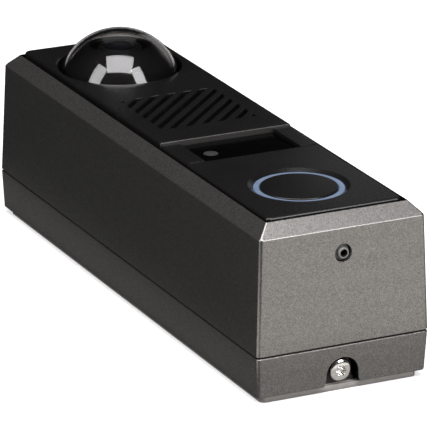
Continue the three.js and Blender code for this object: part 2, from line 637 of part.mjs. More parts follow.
function buttonSpring() {
  const rise = SPRING_HIGH_Z - SPRING_LOW_Z - 2 * SPRING_WIRE;
  const stepsPerTurn = 11;
  const steps = Math.floor(SPRING_TURNS * stepsPerTurn);
  const points = [];
  for (let i = 0; i <= steps; i++) {
    const angle = (i / stepsPerTurn) * 2 * Math.PI;
    const z = SPRING_LOW_Z + SPRING_WIRE + (rise * i) / (SPRING_TURNS * stepsPerTurn);
    points.push(new THREE.Vector3(SPRING_RADIUS * Math.cos(angle), SPRING_RADIUS * Math.sin(angle), z));
  }
  const section = new THREE.Shape();
  section.absarc(0, 0, SPRING_WIRE, 0, 2 * Math.PI);
  const geometry = new THREE.ExtrudeGeometry(section, {
    steps: points.length - 1,
    curveSegments: 2,
    extrudePath: new THREE.CatmullRomCurve3(points),
  });
  geometry.translate(0, BUTTON_Y, 0);
  return toSolid(geometry);
}

const ledBoard = () => ring(4, 15.4, boardSpan(LED_BOARD_Z), 0, BUTTON_Y, MEDIUM_ROUND);
const buttonBoard = () => disc(12, boardSpan(BUTTON_BOARD_Z), 0, BUTTON_Y, MEDIUM_ROUND);

function tactSwitch() {
  const low = BUTTON_BOARD_Z + BOARD_THICK + GAP;
  const body = squareAt(3, BUTTON_Y, [low, low + 2.3]);
  return body.add(disc(1.7, [low + 2, low + 3.2], 0, BUTTON_Y, SMALL_ROUND));
}

function buttonCarrier() {
  const bore = 12.6;
  const wall = CARRIER_RADIUS - 1.4;
  return turned([
    [bore, 44.6], [CARRIER_RADIUS, 44.6], [CARRIER_RADIUS, 53.9], [wall, 53.9], [wall, 51.7], [bore, 51.7],
  ], 0, BUTTON_Y, MEDIUM_ROUND);
}

// ---- Electronics and inner frame ------------------------------------------------------------------------

const standoffPlaces = [[-21, -56], [21, -56], [-21, 52], [21, 52]];

function mainBoard() {
  const holes = standoffPlaces.map(([x, y]) =>
    disc(HOLE_RADIUS, [MAIN_BOARD_Z - 1, MAIN_BOARD_Z + BOARD_THICK + 1], x, y, SMALL_ROUND));
  return withoutAll(box([-25, 25], [-62, 58], boardSpan(MAIN_BOARD_Z)), holes);
}

function innerFrame() {
  const plate = lofted([FRAME_Z, FRAME_Z + FRAME_THICK].map((z) => [z, 24.8, 88.6, 2]));
  const through = [FRAME_Z - 1, FRAME_Z + FRAME_THICK + 1];
  const cutter = (halfX, halfY, y) => lofted(through.map((z) => [z, halfX, halfY, 3])).translate([0, y, 0]);
  const openings = [cutter(15, 14, DOME_Y), cutter(15, 13, -26.5), cutter(9, 6, BUTTON_Y)];
  const holes = standoffPlaces.map(([x, y]) => disc(HOLE_RADIUS, through, x, y, SMALL_ROUND));
  return withoutAll(plate, [...openings, ...holes]);
}

function standoff([x, y]) {
  const low = MAIN_BOARD_Z + BOARD_THICK + GAP;
  return disc(3, [low, FRAME_Z - GAP], x, y, 6);
}

function networkJack() {
  const mouthY = -30;
  const body = box([-8, 8], [mouthY, mouthY + 21.5], [8.3, MAIN_BOARD_Z - GAP]);
  const socket = box([-5.9, 5.9], [mouthY - 1, mouthY + 16], [10.6, 17.4]);
  const latch = box([-3.2, 3.2], [mouthY - 1, mouthY + 16], [9.4, 11]);
  return withoutAll(body, [socket, latch]);
}

function terminalBlock() {
  const ways = 8;
  const pitch = 3.5;
  const body = box([-14, 14], [22, 30], [11.5, MAIN_BOARD_Z - GAP]);
  const mouths = [];
  for (let i = 0; i < ways; i++) {
    const x = (i - (ways - 1) / 2) * pitch;
    mouths.push(box([x - 1.1, x + 1.1], [26.5, 31], [13.5, 16.5]));
  }
  return withoutAll(body, mouths);
}

function cableGrommet() {
  const bore = 3.3;
  const groove = CABLE_HOLE_RADIUS - GAP;
  const low = BASE_Z + GAP;
  const shoulder = BASE_Z + REAR_FLOOR + GAP;
  return turned([
    [bore, low], [groove, low], [groove, shoulder], [13, shoulder], [13, shoulder + 1.3],
    [6, shoulder + 1.3], [5, shoulder + 3.9], [bore, shoulder + 3.9],
  ], 0, CABLE_Y, MEDIUM_ROUND);
}

const sensorBoard = () => box([-16, 16], [-34, -19], boardSpan(52.4));

// ---- Assembly -------------------------------------------------------------------------------------------

const panel = new THREE.Group();

function addPart(name, solid, look) {
  const mesh = new THREE.Mesh(toGeometry(solid), look);
  mesh.name = name;
  panel.add(mesh);
}

addPart('wall_bracket', wallBracket(), steel);
addPart('rear_housing', rearHousing(), paintedMetal);
addPart('front_housing', frontHousing(), paintedMetal);
addPart('housing_gasket', housingGasket(), silicone);
addPart('locking_screw', lockingScrew(), steel);
addPart('upper_cover', upperCover(), blackPlastic);
addPart('window_bezel', windowBezel(), blackPlastic);
addPart('button_panel', buttonPanel(), blackPlastic);
addPart('sensor_window', sensorWindow(), darkGlass);
addPart('sensor_lens', sensorLens(), greyLens);
addPart('sensor_board', sensorBoard(), circuitBoard);
addPart('dome_cover', domeCover(), clearPlastic);
addPart('dome_seal', domeSeal(), silicone);
addPart('dome_retaining_ring', domeRing(), innerPlastic);
addPart('camera_shroud', cameraShroud(), innerPlastic);
addPart('lens_barrel', lensBarrel(), innerPlastic);
addPart('front_lens', frontLens(), lensGlass);
addPart('image_sensor', imageSensor(), ferrite);
addPart('camera_board', cameraBoard(), circuitBoard);
addPart('camera_bracket', cameraBracket(), innerPlastic);
addPart('speaker_mesh', speakerMesh(), steel);
addPart('speaker_basket', speakerBasket(), innerPlastic);
addPart('speaker_cone', speakerCone(), paperCone);
addPart('speaker_magnet', speakerMagnet(), ferrite);
addPart('mic_grommet', micGrommet(), silicone);
addPart('mic_capsule', micCapsule(), connectorGrey);
addPart('call_button', callButton(), blackPlastic);
addPart('light_ring', lightRing(), litPlastic);
addPart('button_spring', buttonSpring(), steel);
addPart('led_board', ledBoard(), circuitBoard);
addPart('tact_switch', tactSwitch(), innerPlastic);
addPart('button_board', buttonBoard(), circuitBoard);
addPart('button_carrier', buttonCarrier(), innerPlastic);
addPart('main_board', mainBoard(), circuitBoard);
addPart('inner_frame', innerFrame(), innerPlastic);
addPart('network_jack', networkJack(), connectorGrey);
addPart('terminal_block', terminalBlock(), terminalGreen);
addPart('cable_grommet', cableGrommet(), silicone);

standoffPlaces.forEach((place, i) => addPart(`board_standoff_${i + 1}`, standoff(place), steel));

atCorners((x, y) => screw(2.8, 2.1, 1.5, BASE_Z + REAR_FLOOR + 0.1, HOUSING_SCREW_TOP_Z, x, y))
  .forEach((solid, i) => addPart(`housing_screw_${i + 1}`, solid, steel));

coverScrewPlaces.forEach(([x, y], i) => {
  const underLedge = POCKET_Z - LEDGE_THICK - GAP;
  const solid = screw(2.1, 1.5, PANEL_SCREW_RADIUS, underLedge, PANEL_SCREW_TOP_Z, x, y);
  addPart(`panel_screw_${i + 1}`, solid, steel);
});

export default panel;
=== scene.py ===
"""Looks of a slim door intercom panel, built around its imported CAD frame.

The panel lies on its back: +Z points away from the wall, +Y towards the camera dome. Blender works in
metres; the modelling functions below take millimetres, and MM turns them into metres.
"""

import math

import bmesh
import bpy
from mathutils import Matrix, Vector


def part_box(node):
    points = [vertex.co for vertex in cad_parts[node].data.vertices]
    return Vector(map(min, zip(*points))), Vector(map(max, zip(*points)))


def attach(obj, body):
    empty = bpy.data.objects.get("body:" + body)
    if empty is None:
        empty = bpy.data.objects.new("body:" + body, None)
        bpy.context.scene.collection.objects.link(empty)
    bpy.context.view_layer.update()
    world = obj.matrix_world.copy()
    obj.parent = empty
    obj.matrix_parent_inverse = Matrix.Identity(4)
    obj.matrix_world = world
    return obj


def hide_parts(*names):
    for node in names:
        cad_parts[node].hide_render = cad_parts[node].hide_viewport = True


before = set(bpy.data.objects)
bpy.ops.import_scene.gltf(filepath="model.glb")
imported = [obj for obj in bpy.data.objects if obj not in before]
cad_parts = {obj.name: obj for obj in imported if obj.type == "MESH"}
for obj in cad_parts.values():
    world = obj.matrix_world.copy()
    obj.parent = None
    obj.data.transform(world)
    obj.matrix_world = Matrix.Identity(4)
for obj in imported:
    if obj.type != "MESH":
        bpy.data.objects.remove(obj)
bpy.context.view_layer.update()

MM = 0.001


# ---- Places read from the frame, in millimetres --------------------------------------------------

def box_mm(node):
    low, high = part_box(node)
    return low / MM, high / MM


def centre_mm(node):
    low, high = box_mm(node)
    return (low + high) / 2


FRONT_LOW, FRONT_HIGH = box_mm("front_housing")
REAR_LOW, REAR_HIGH = box_mm("rear_housing")
COVER_LOW, COVER_HIGH = box_mm("upper_cover")
BEZEL_LOW, BEZEL_HIGH = box_mm("window_bezel")
PANEL_LOW, PANEL_HIGH = box_mm("button_panel")
WINDOW_LOW, WINDOW_HIGH = box_mm("sensor_window")
BRACKET_HIGH = box_mm("wall_bracket")[1]
LENS_CENTRE = centre_mm("sensor_lens")
DOME_LOW, DOME_HIGH = box_mm("dome_cover")
DOME_CENTRE = centre_mm("dome_cover")
GRILLE_CENTRE = centre_mm("speaker_mesh")
BUTTON_CENTRE = centre_mm("call_button")
CAP_LOW, CAP_HIGH = box_mm("call_button")
RING_LOW, RING_HIGH = box_mm("light_ring")
MIC_CENTRE = centre_mm("mic_grommet")
MIC_FACE_Y = box_mm("mic_grommet")[0].y
SCREW_CENTRE = centre_mm("locking_screw")
SCREW_LOW = box_mm("locking_screw")[0]
CABLE_CENTRE = centre_mm("cable_grommet")

HALF_WIDTH = FRONT_HIGH.x
HALF_LENGTH = FRONT_HIGH.y

# ---- Dimensions of the visible shapes, in millimetres --------------------------------------------

GAP = 0.3                       # between pieces that touch
SCREW_HOLE_RADIUS = 1.8         # clearance for the housing screws
PANEL_HOLE_RADIUS = 1.5         # clearance for the panel screws
PANEL_THREAD_RADIUS = 1.35

# Front housing: the hip is the chamfer round its front edge.
OUTER_CORNER = 1.4
HIP_LOW_Z = 53.7
HIP_TOP_Z = FRONT_HIGH.z
HIP_LOW_INSET = 1.3
HIP_TOP_INSET = 5.45
HIP_CORNER = 0.5
HIP_CORNER_RUN = 0.8            # inset over which the corner shrinks
HIP_CORNER_SHARE = 0.22         # how far up the hip the corner has shrunk
POCKET_INSET = 5.65
POCKET_CORNER = 1.3
POCKET_EDGE_DROP = 0.12
LEDGE_Z = COVER_LOW.z - GAP
LEDGE_INSET = 10.7
LEDGE_THICK = 2.7
LEDGE_CORNER = 4.0
WALL_SEAM_THICK = 2.3
WALL_TOP_THICK = 3.6
POST_REACH = 3.2                # from a housing screw's axis towards the middle
POST_ROOT = 4.6                 # and into the wall
POST_LOW_Z = 19.2
POST_BORE_TOP_Z = 31

# Rear housing.
BASE_INSET = 0.65
TRAY_WALL = 2.7
TRAY_CORNER = 1.5
TRAY_FLOOR = 2.5
TRAY_FLOOR_INSET = 5
RIM_INSET = 0.95
RIM_HEIGHT = 0.3
BOSS_RADIUS = 3.7
BOSS_TOP_Z = 12.8
HEAD_RECESS_RADIUS = 3.1
HEAD_RECESS_TOP_Z = 5.2
CABLE_HOLE_RADIUS = 11
NICHE_HALF_WIDTH = 8
NICHE_Y = (-98.5, -91.5)
NICHE_TOP_Z = 12.9
NOTCH_HALF_WIDTH = 5.6
NOTCH_CENTRE_Z = 6.0
NOTCH_BACK_Y = -93.2
NOTCH_FLARE = [(0.15, 4), (0.6, 2.9), (1.2, 1.0)]      # extra width at heights above the wall

# Wall bracket.
BRACKET_THICK = 2.0
BRACKET_CORNER = 2
BRACKET_SHEET = 1.6             # thickness of the tab and the hook
TAB_HALF_WIDTH = 4.6
TAB_FOOT_HALF_WIDTH = 5.2
TAB_FOOT_TOP_Z = 3.6
TAB_HOLE_RADIUS = 2.25
HOOK_HALF_WIDTH = 6
HOOK_Y = 90
HOOK_END_Y = 95
HOOK_TOP_Z = 7.2
CABLE_WINDOW = (15, 20, 5)      # half width, half length and corner radius
WALL_SLOT = (2.3, 4.2, 2.25)
WALL_SLOT_PLACES = [(0, 82), (0, 62), (0, -84), (-18, -10), (18, -10)]

# Panels and call button.
PANEL_EDGE = 0.9
BUTTON_PANEL_EDGE = 0.8
BUTTON_PANEL_SHORTER = 0.5
DISH_NARROW = 1.6               # the dish round the dome, at its narrowest
DISH_EXTRA = 5.0                # and how much wider it gets towards the grille
DISH_DEPTH = 0.8
SLOT_COUNT = 12
SLOT_PITCH = 4.17
SLOT_WIDTH = 1.95
GRILLE_HALF_WIDTH = 17.1
GRILLE_HALF_LENGTH = 16.5
WINDOW_CORNER = 0.7
WINDOW_GROOVE = 0.05            # between the window and the upper cover
LENS_RADIUS = 2.4
LENS_HOLE_RADIUS = 2.9
LENS_CROWN_RADIUS = 9.0
LENS_SUNK = 0.2
BUTTON_RIM_RADIUS = 16.15
RING_OUTER_RADIUS = 14.4
RING_INNER_RADIUS = 12.7
RING_SUNK = 0.05
CAP_STEM_RADIUS = 3
CAP_POCKET_RADIUS = 8

# Camera and microphone port.
DOME_RADIUS = 21.6
DOME_CENTRE_Z = DOME_HIGH.z - DOME_RADIUS
DOME_WALL = 1.5
DOME_HOLE_RADIUS = 21.2
DOME_FLANGE_RADIUS = DOME_HIGH.x - DOME_CENTRE.x
DOME_FLANGE_THICK = 1.4
SHROUD_RADIUS = 19.6
SHROUD_WALL = 1.2
SHROUD_FOOT = 4                 # degrees above the dome's equator
SHROUD_APERTURE = 57.0
FRONT_LENS_RADIUS = 4.85
FRONT_LENS_CROWN_RADIUS = 8.4
FRONT_LENS_EDGE = 54.5          # degrees above the crown's equator
MIC_BORE_RADIUS = 1.15
MIC_NECK_RADIUS = 2.6

# Cutters reach past everything.
FAR_X = 40
FAR_Y = 120
UNDER_PANELS_Z = 50
OVER_ALL_Z = 70


# ---- Mesh building -------------------------------------------------------------------------------

def new_object(name, points, faces):
    mesh = bpy.data.meshes.new(name)
    mesh.from_pydata([[c * MM for c in p] for p in points], [], faces)
    mesh.validate()
    obj = bpy.data.objects.new(name, mesh)
    bpy.context.scene.collection.objects.link(obj)
    tidy_normals(obj)
    return obj


def tidy_normals(obj):
    bm = bmesh.new()
    bm.from_mesh(obj.data)
    bmesh.ops.remove_doubles(bm, verts=bm.verts, dist=2e-7)
    bmesh.ops.recalc_face_normals(bm, faces=bm.faces)
    bm.to_mesh(obj.data)
    bm.free()


def rounded_ring(half_x, half_y, radius, z, steps=8):
    """Points of a rounded rectangle, anticlockwise from above."""
    points = []
    for quarter in range(4):
        sign_x = 1 if quarter in (0, 3) else -1
        sign_y = 1 if quarter < 2 else -1
        for i in range(steps + 1):
            angle = math.pi / 2 * (quarter + i / steps)
            points.append((sign_x * (half_x - radius) + radius * math.cos(angle),
                           sign_y * (half_y - radius) + radius * math.sin(angle), z))
    return points


def filleted(points, radii, steps=4, closed=False):
    """The 2D outline with each corner rounded to its radius."""
    result = []
    count = len(points)
    for i, (point, radius) in enumerate(zip(points, radii)):
        at_end = not closed and i in (0, count - 1)
        if radius <= 0 or at_end:
            result.append(point)
            continue
        here = Vector(point)
        before = (Vector(points[i - 1]) - here).normalized()
        after = (Vector(points[(i + 1) % count]) - here).normalized()
        half_angle = before.angle(after) / 2
        reach = radius / math.tan(half_angle)
        middle = here + (before + after).normalized() * (radius / math.sin(half_angle))
        start = here + before * reach - middle
        end = here + after * reach - middle
        turn = start.angle(end)
        for k in range(steps + 1):
            share = k / steps
            mixed = (start * math.sin((1 - share) * turn) + end * math.sin(share * turn)) / math.sin(turn)
            result.append(tuple(middle + mixed))
    return result


def skin(name, rings, closed_path=False):
    """Quads between rings of equal length; the ends are capped unless the path closes on itself."""
    count = len(rings[0])
    points = [p for ring in rings for p in ring]
    faces = []
    spans = len(rings) if closed_path else len(rings) - 1
    for r in range(spans):
        a, b = r * count, ((r + 1) % len(rings)) * count
        for i in range(count):
            j = (i + 1) % count
            faces.append((a + i, a + j, b + j, b + i))
    if not closed_path:
        faces.append(tuple(reversed(range(count))))
        faces.append(tuple(range((len(rings) - 1) * count, len(rings) * count)))
    return new_object(name, points, faces)


def frame_rings(profile, half_x, half_y, radius_at):
    """One rounded rectangle for each (inset, z) of a wall's profile."""
    return [rounded_ring(half_x - inset, half_y - inset, radius_at(inset), z) for inset, z in profile]


def turned(name, profile, centre=(0, 0), steps=96, closed_path=False):
    """Turns (radius, z) points about an upright axis; points on the axis become one point."""
    rings = []
    for radius, z in profile:
        angles = [2 * math.pi * i / steps for i in range(steps)]
        rings.append([(centre[0] + radius * math.cos(a), centre[1] + radius * math.sin(a), z)
                      for a in angles])
    return skin(name, rings, closed_path)


def arc(radius, centre_z, start, end, steps):
    """(radius, z) points on a sphere's profile, angles in degrees above its equator."""
    points = []
    for i in range(steps + 1):
        angle = math.radians(start + (end - start) * i / steps)
        points.append((max(radius * math.cos(angle), 0.0), centre_z + radius * math.sin(angle)))
    return points


def block(name, low, high):
    (x0, y0, z0), (x1, y1, z1) = low, high
    low_ring = [(x0, y0, z0), (x1, y0, z0), (x1, y1, z0), (x0, y1, z0)]
    return skin(name, [low_ring, [(x, y, z1) for x, y, _ in low_ring]])


def rod(name, radius, low, high, centre, steps=48):
    return turned(name, [(radius, low), (radius, high)], centre, steps)


def laid_along_y(obj, y, z):
    """Turns an upright shape so that its heights run towards +Y from the given place."""
    obj.data.transform(Matrix.Translation((0, y * MM, z * MM)) @ Matrix.Rotation(-math.pi / 2, 4, "X"))
    return obj


def apply_modifiers(obj):
    bpy.context.view_layer.update()
    evaluated = obj.evaluated_get(bpy.context.evaluated_depsgraph_get())
    mesh = bpy.data.meshes.new_from_object(evaluated)
    old = obj.data
    obj.modifiers.clear()
    obj.data = mesh
    mesh.name = obj.name
    bpy.data.meshes.remove(old)


def combine(obj, others, operation):
    """Cuts or joins the other shapes, which are used up."""
    for other in others:
        modifier = obj.modifiers.new(operation, "BOOLEAN")
        modifier.operation = operation
        modifier.solver = "EXACT"
        modifier.object = other
        apply_modifiers(obj)
        bpy.data.objects.remove(other)
    return obj


def cut(obj, others):
    return combine(obj, others, "DIFFERENCE")


def join(obj, others):
    return combine(obj, others, "UNION")


def bevel_edges(obj, width, segments, test, least_angle=25):
    """Rounds the creased edges whose middle, in millimetres, passes the test."""
    bm = bmesh.new()
    bm.from_mesh(obj.data)
    bmesh.ops.dissolve_limit(bm, angle_limit=math.radians(0.2), verts=bm.verts, edges=bm.edges)
    edges = []
    for edge in bm.edges:
        if len(edge.link_faces) != 2 or edge.calc_face_angle() < math.radians(least_angle):
            continue
        ends = [v.co / MM for v in edge.verts]
        if test((ends[0] + ends[1]) / 2):
            edges.append(edge)
    bmesh.ops.bevel(bm, geom=edges, offset=width * MM, segments=segments, profile=0.5,
                    affect="EDGES", clamp_overlap=True)
    bm.to_mesh(obj.data)
    bm.free()


def smooth(obj, angle=32):
    """Smooth shading with creases kept, and flat faces that stay flat next to small rounds."""
    mesh = obj.data
    mesh.polygons.foreach_set("use_smooth", [True] * len(mesh.polygons))
    mesh.set_sharp_from_angle(angle=math.radians(angle))
    modifier = obj.modifiers.new("weighted", "WEIGHTED_NORMAL")
    modifier.keep_sharp = True
    modifier.mode = "FACE_AREA"
    apply_modifiers(obj)
    return obj


# ---- Materials -----------------------------------------------------------------------------------

class Nodes:
    """A small helper that adds and links shader nodes."""

    def __init__(self, name):
        self.material = bpy.data.materials.new(name)
        self.material.use_nodes = True
        self.tree = self.material.node_tree
        self.tree.nodes.clear()
        self.output = self.add("ShaderNodeOutputMaterial")
        self.coordinates = self.add("ShaderNodeTexCoord").outputs["Object"]

    def add(self, kind, **inputs):
        node = self.tree.nodes.new(kind)
        for name, value in inputs.items():
            node.inputs[name.replace("_", " ")].default_value = value
        return node

    def link(self, source, target):
        self.tree.links.new(source, target)

    def noise(self, scale, detail=2.0, stretch=None):
        """Noise whose scale is in bumps per metre."""
        texture = self.add("ShaderNodeTexNoise", Scale=scale, Detail=detail)
        self.link(self.stretched(stretch), texture.inputs["Vector"])
        return texture.outputs["Fac"]

    def cells(self, scale, output="Color"):
        texture = self.add("ShaderNodeTexVoronoi", Scale=scale)
        self.link(self.coordinates, texture.inputs["Vector"])
        return texture.outputs[output]

    def stretched(self, stretch):
        if stretch is None:
            return self.coordinates
        mapping = self.add("ShaderNodeMapping", Scale=stretch)
        self.link(self.coordinates, mapping.inputs["Vector"])
        return mapping.outputs["Vector"]

    def spread(self, source, low, high, start=0.0, end=1.0):
        """Maps a value from start..end to low..high."""
        node = self.add("ShaderNodeMapRange")
        node.inputs["From Min"].default_value = start
        node.inputs["From Max"].default_value = end
        node.inputs["To Min"].default_value = low
        node.inputs["To Max"].default_value = high
        self.link(source, node.inputs["Value"])
        return node.outputs["Result"]

    def ramp(self, source, stops):
        node = self.add("ShaderNodeValToRGB")
        elements = node.color_ramp.elements
        while len(elements) < len(stops):
            elements.new(0.5)
        for element, (position, color) in zip(elements, stops):
            element.position = position
            element.color = (*color, 1)
        self.link(source, node.inputs["Fac"])
        return node.outputs["Color"]

    def between(self, source, dark, light):
        """A colour that goes from dark to light over the middle of a noise's range."""
        return self.ramp(source, [(0.3, dark), (0.7, light)])

    def mixed(self, a, b, factor):
        node = self.add("ShaderNodeMix")
        node.data_type = "RGBA"
        self.link(a, node.inputs["A"])
        self.link(b, node.inputs["B"])
        if isinstance(factor, float):
            node.inputs["Factor"].default_value = factor
        else:
            self.link(factor, node.inputs["Factor"])
        return node.outputs["Result"]

    def math(self, operation, a, b=None):
        """One arithmetic step; a is a socket, b a socket or a number."""
        node = self.add("ShaderNodeMath")
        node.operation = operation
        self.link(a, node.inputs[0])
        if isinstance(b, (int, float)):
            node.inputs[1].default_value = b
        elif b is not None:
            self.link(b, node.inputs[1])
        return node.outputs[0]

    def within(self, half_x, half_y, low=None, high=None):
        """1 inside an upright box round the panel's axis, 0 outside it; all in mm."""
        split = self.add("ShaderNodeSeparateXYZ")
        self.link(self.coordinates, split.inputs[0])
        x, y, z = split.outputs
        inside = self.math("MULTIPLY", self.math("LESS_THAN", self.math("ABSOLUTE", x), half_x * MM),
                           self.math("LESS_THAN", self.math("ABSOLUTE", y), half_y * MM))
        if low is not None:
            inside = self.math("MULTIPLY", inside, self.math("GREATER_THAN", z, low * MM))
            inside = self.math("MULTIPLY", inside, self.math("LESS_THAN", z, high * MM))
        return inside

    def bore(self, z, radius):
        """1 within a radius of a line along Y at x 0 and a height z, 0 outside it; all in mm."""
        mapping = self.add("ShaderNodeMapping", Scale=(1, 0, 1), Location=(0, 0, -z * MM))
        self.link(self.coordinates, mapping.inputs["Vector"])
        length = self.add("ShaderNodeVectorMath")
        length.operation = "LENGTH"
        self.link(mapping.outputs["Vector"], length.inputs[0])
        return self.math("LESS_THAN", length.outputs["Value"], radius * MM)

    def bump(self, height, distance, strength, below=None):
        node = self.add("ShaderNodeBump", Strength=strength, Distance=distance)
        self.link(height, node.inputs["Height"])
        if below is not None:
            self.link(below, node.inputs["Normal"])
        return node.outputs["Normal"]

    def surface(self, color, roughness=None, normal=None, **constants):
        shader = self.add("ShaderNodeBsdfPrincipled")
        for name, value in constants.items():
            shader.inputs[name.replace("_", " ")].default_value = value
        self.link(color, shader.inputs["Base Color"])
        if roughness is not None:
            self.link(roughness, shader.inputs["Roughness"])
        if normal is not None:
            self.link(normal, shader.inputs["Normal"])
        self.link(shader.outputs["BSDF"], self.output.inputs["Surface"])
        return self.material


def metallic_paint():
    """Warm grey powder coat with metal flakes and a very fine orange peel; near-black painted shade in the
    pocket, the seam groove and the notch.
    """
    n = Nodes("metallic_paint")
    flakes = n.cells(3600)
    grain = n.noise(2600, detail=3)
    patches = n.noise(45, detail=2)
    base = n.between(grain, (0.170, 0.163, 0.153), (0.330, 0.318, 0.302))
    flecks = n.ramp(flakes, [(0.0, (0.090, 0.086, 0.081)), (1.0, (0.410, 0.395, 0.376))])
    coat = n.mixed(base, flecks, 0.6)
    # painted shade: a near-black colour on the pocket walls, in the seam groove and in the notch, where shade
    # falls
    painted_hollow_shade = n.between(grain, (0.010, 0.010, 0.010), (0.016, 0.016, 0.016))
    past_edge = 0.12
    pocket = n.within(HALF_WIDTH - POCKET_INSET + past_edge, HALF_LENGTH - POCKET_INSET + past_edge)
    seam_depth = 0.8
    seam = n.within(HALF_WIDTH - seam_depth, HALF_LENGTH - seam_depth, REAR_HIGH.z - 0.5, FRONT_LOW.z + 0.1)
    notch = n.within(NICHE_HALF_WIDTH, HALF_LENGTH - BASE_INSET - 0.4, 0, NICHE_TOP_Z + 0.1)
    inside = n.math("MAXIMUM", n.math("MAXIMUM", pocket, seam), notch)
    color = n.mixed(coat, painted_hollow_shade, inside)
    roughness = n.spread(patches, 0.28, 0.33)
    peel = n.bump(n.noise(900, detail=1), 0.00002, 0.2)
    normal = n.bump(flakes, 0.000012, 0.6, below=peel)
    return n.surface(color, roughness, normal, Metallic=0.88)


def satin_black():
    """Black moulded plastic with a fine spark-eroded grain; the upper cover's cut end face gets a lighter
    colour as painted light.
    """
    n = Nodes("satin_black")
    grain = n.noise(5200, detail=2)
    patches = n.noise(60, detail=3)
    face = n.between(patches, (0.0062, 0.0057, 0.0057), (0.0086, 0.0079, 0.0078))
    # painted light: a lighter colour on the upper cover's cut end face, standing in for the light that face
    # catches
    painted_light_end = n.between(patches, (0.034, 0.031, 0.029), (0.046, 0.042, 0.040))
    end_y = -COVER_LOW.y
    top_z = COVER_HIGH.z - 0.3
    below = n.within(HALF_WIDTH, end_y + 0.2, COVER_LOW.z, top_z)
    behind = n.within(HALF_WIDTH, end_y - 0.1, COVER_LOW.z, top_z)
    color = n.mixed(face, painted_light_end, n.math("SUBTRACT", below, behind))
    roughness = n.spread(grain, 0.22, 0.30, 0.3, 0.7)
    normal = n.bump(grain, 0.00001, 0.5)
    return n.surface(color, roughness, normal, IOR=1.5)


def cap_black():
    """The call button's cap: a little smoother, with a faint brushed polish."""
    n = Nodes("cap_black")
    grain = n.noise(4200, detail=2)
    color = n.between(n.noise(90), (0.0046, 0.0043, 0.0044), (0.0064, 0.0060, 0.0061))
    roughness = n.spread(grain, 0.22, 0.30, 0.3, 0.7)
    return n.surface(color, roughness, n.bump(grain, 0.000008, 0.4), IOR=1.5)


def window_gloss():
    """Dark infrared-passing window with a polished face and faint wiping marks."""
    n = Nodes("window_gloss")
    streaks = n.noise(160, detail=3, stretch=(1, 4, 1))
    color = n.ramp(streaks, [(0.3, (0.0008, 0.0007, 0.0008)), (0.8, (0.0018, 0.0015, 0.0017))])
    roughness = n.spread(streaks, 0.16, 0.22, 0.3, 0.7)
    return n.surface(color, roughness, IOR=1.12, Specular_IOR_Level=0.2)


def clear_dome():
    """Lightly smoked polycarbonate with a faint mould ripple."""
    n = Nodes("clear_dome")
    haze = n.noise(70, detail=2)
    color = n.between(haze, (0.50, 0.48, 0.47), (0.54, 0.52, 0.51))
    roughness = n.spread(haze, 0.0, 0.015)
    return n.surface(color, roughness, n.bump(n.noise(35), 0.00002, 0.2), IOR=1.58,
                     Transmission_Weight=1.0)


def coated_glass():
    n = Nodes("coated_glass")
    color = n.between(n.noise(150), (0.02, 0.022, 0.035), (0.03, 0.028, 0.05))
    roughness = n.spread(n.noise(400), 0.02, 0.05)
    return n.surface(color, roughness, IOR=1.7, Coat_Weight=1.0, Coat_Roughness=0.02)


def lit_ring():
    """Diffusing plastic, lit pale blue from behind by evenly spaced diodes."""
    n = Nodes("lit_ring")
    glow = n.noise(240, detail=2)
    color = n.between(glow, (0.085, 0.10, 0.125), (0.11, 0.125, 0.15))
    roughness = n.spread(glow, 0.30, 0.42)
    shader_material = n.surface(color, roughness, IOR=1.46)
    shader = next(node for node in n.tree.nodes if node.type == "BSDF_PRINCIPLED")
    light = n.ramp(glow, [(0.25, (0.17, 0.27, 0.50)), (0.75, (0.24, 0.36, 0.62))])
    n.link(light, shader.inputs["Emission Color"])
    shader.inputs["Emission Strength"].default_value = 0.35
    return shader_material


def turned_steel(name, dark, light, roughest, dent_depth, dents):
    """Stainless steel with fine turning lines and small dents."""
    n = Nodes(name)
    lines = n.noise(900, detail=3, stretch=(1, 0.2, 1))
    color = n.between(lines, dark, light)
    roughness = n.spread(lines, 0.12, roughest)
    return n.surface(color, roughness, n.bump(n.noise(700), dent_depth, dents), Metallic=1.0)


def bright_steel():
    return turned_steel("bright_steel", (0.60, 0.59, 0.57), (0.78, 0.77, 0.75), 0.26, 0.00003, 0.4)


def screw_steel():
    """Tumbled, so brighter and more even than the polished pieces."""
    return turned_steel("screw_steel", (0.84, 0.82, 0.79), (0.94, 0.93, 0.90), 0.24, 0.00004, 0.7)


def plated_sheet():
    """Zinc-plated sheet with rolling marks and a soft spangle; the upright tab and hook get a near-black
    painted shade.
    """
    n = Nodes("plated_sheet")
    rolled = n.noise(700, detail=3, stretch=(1, 0.05, 1))
    spangle = n.cells(260, "Distance")
    zinc = n.mixed(n.between(rolled, (0.52, 0.48, 0.45), (0.66, 0.62, 0.59)),
                   n.ramp(spangle, [(0.0, (0.54, 0.50, 0.47)), (1.0, (0.68, 0.64, 0.61))]), 0.4)
    # painted shade: near-black colour on the upright tab and the hook, standing in for the shade in the notch
    painted_shade = n.between(rolled, (0.020, 0.020, 0.020), (0.032, 0.031, 0.030))
    color = n.mixed(zinc, painted_shade, n.within(HALF_WIDTH, HALF_LENGTH, BRACKET_THICK + 0.1, REAR_HIGH.z))
    roughness = n.spread(rolled, 0.32, 0.48)
    return n.surface(color, roughness, n.bump(rolled, 0.00002, 0.4), Metallic=0.3)


def grained(name, scale, detail, dark, light, rough, depth, strength):
    """A matt material whose colour, roughness and bumps follow one grain."""
    n = Nodes(name)
    grain = n.noise(scale, detail)
    return n.surface(n.between(grain, dark, light), n.spread(grain, *rough), n.bump(grain, depth, strength))


def soft_rubber():
    return grained("soft_rubber", 1800, 3, (0.004, 0.004, 0.004), (0.008, 0.008, 0.008), (0.62, 0.82),
                   0.00003, 0.5)


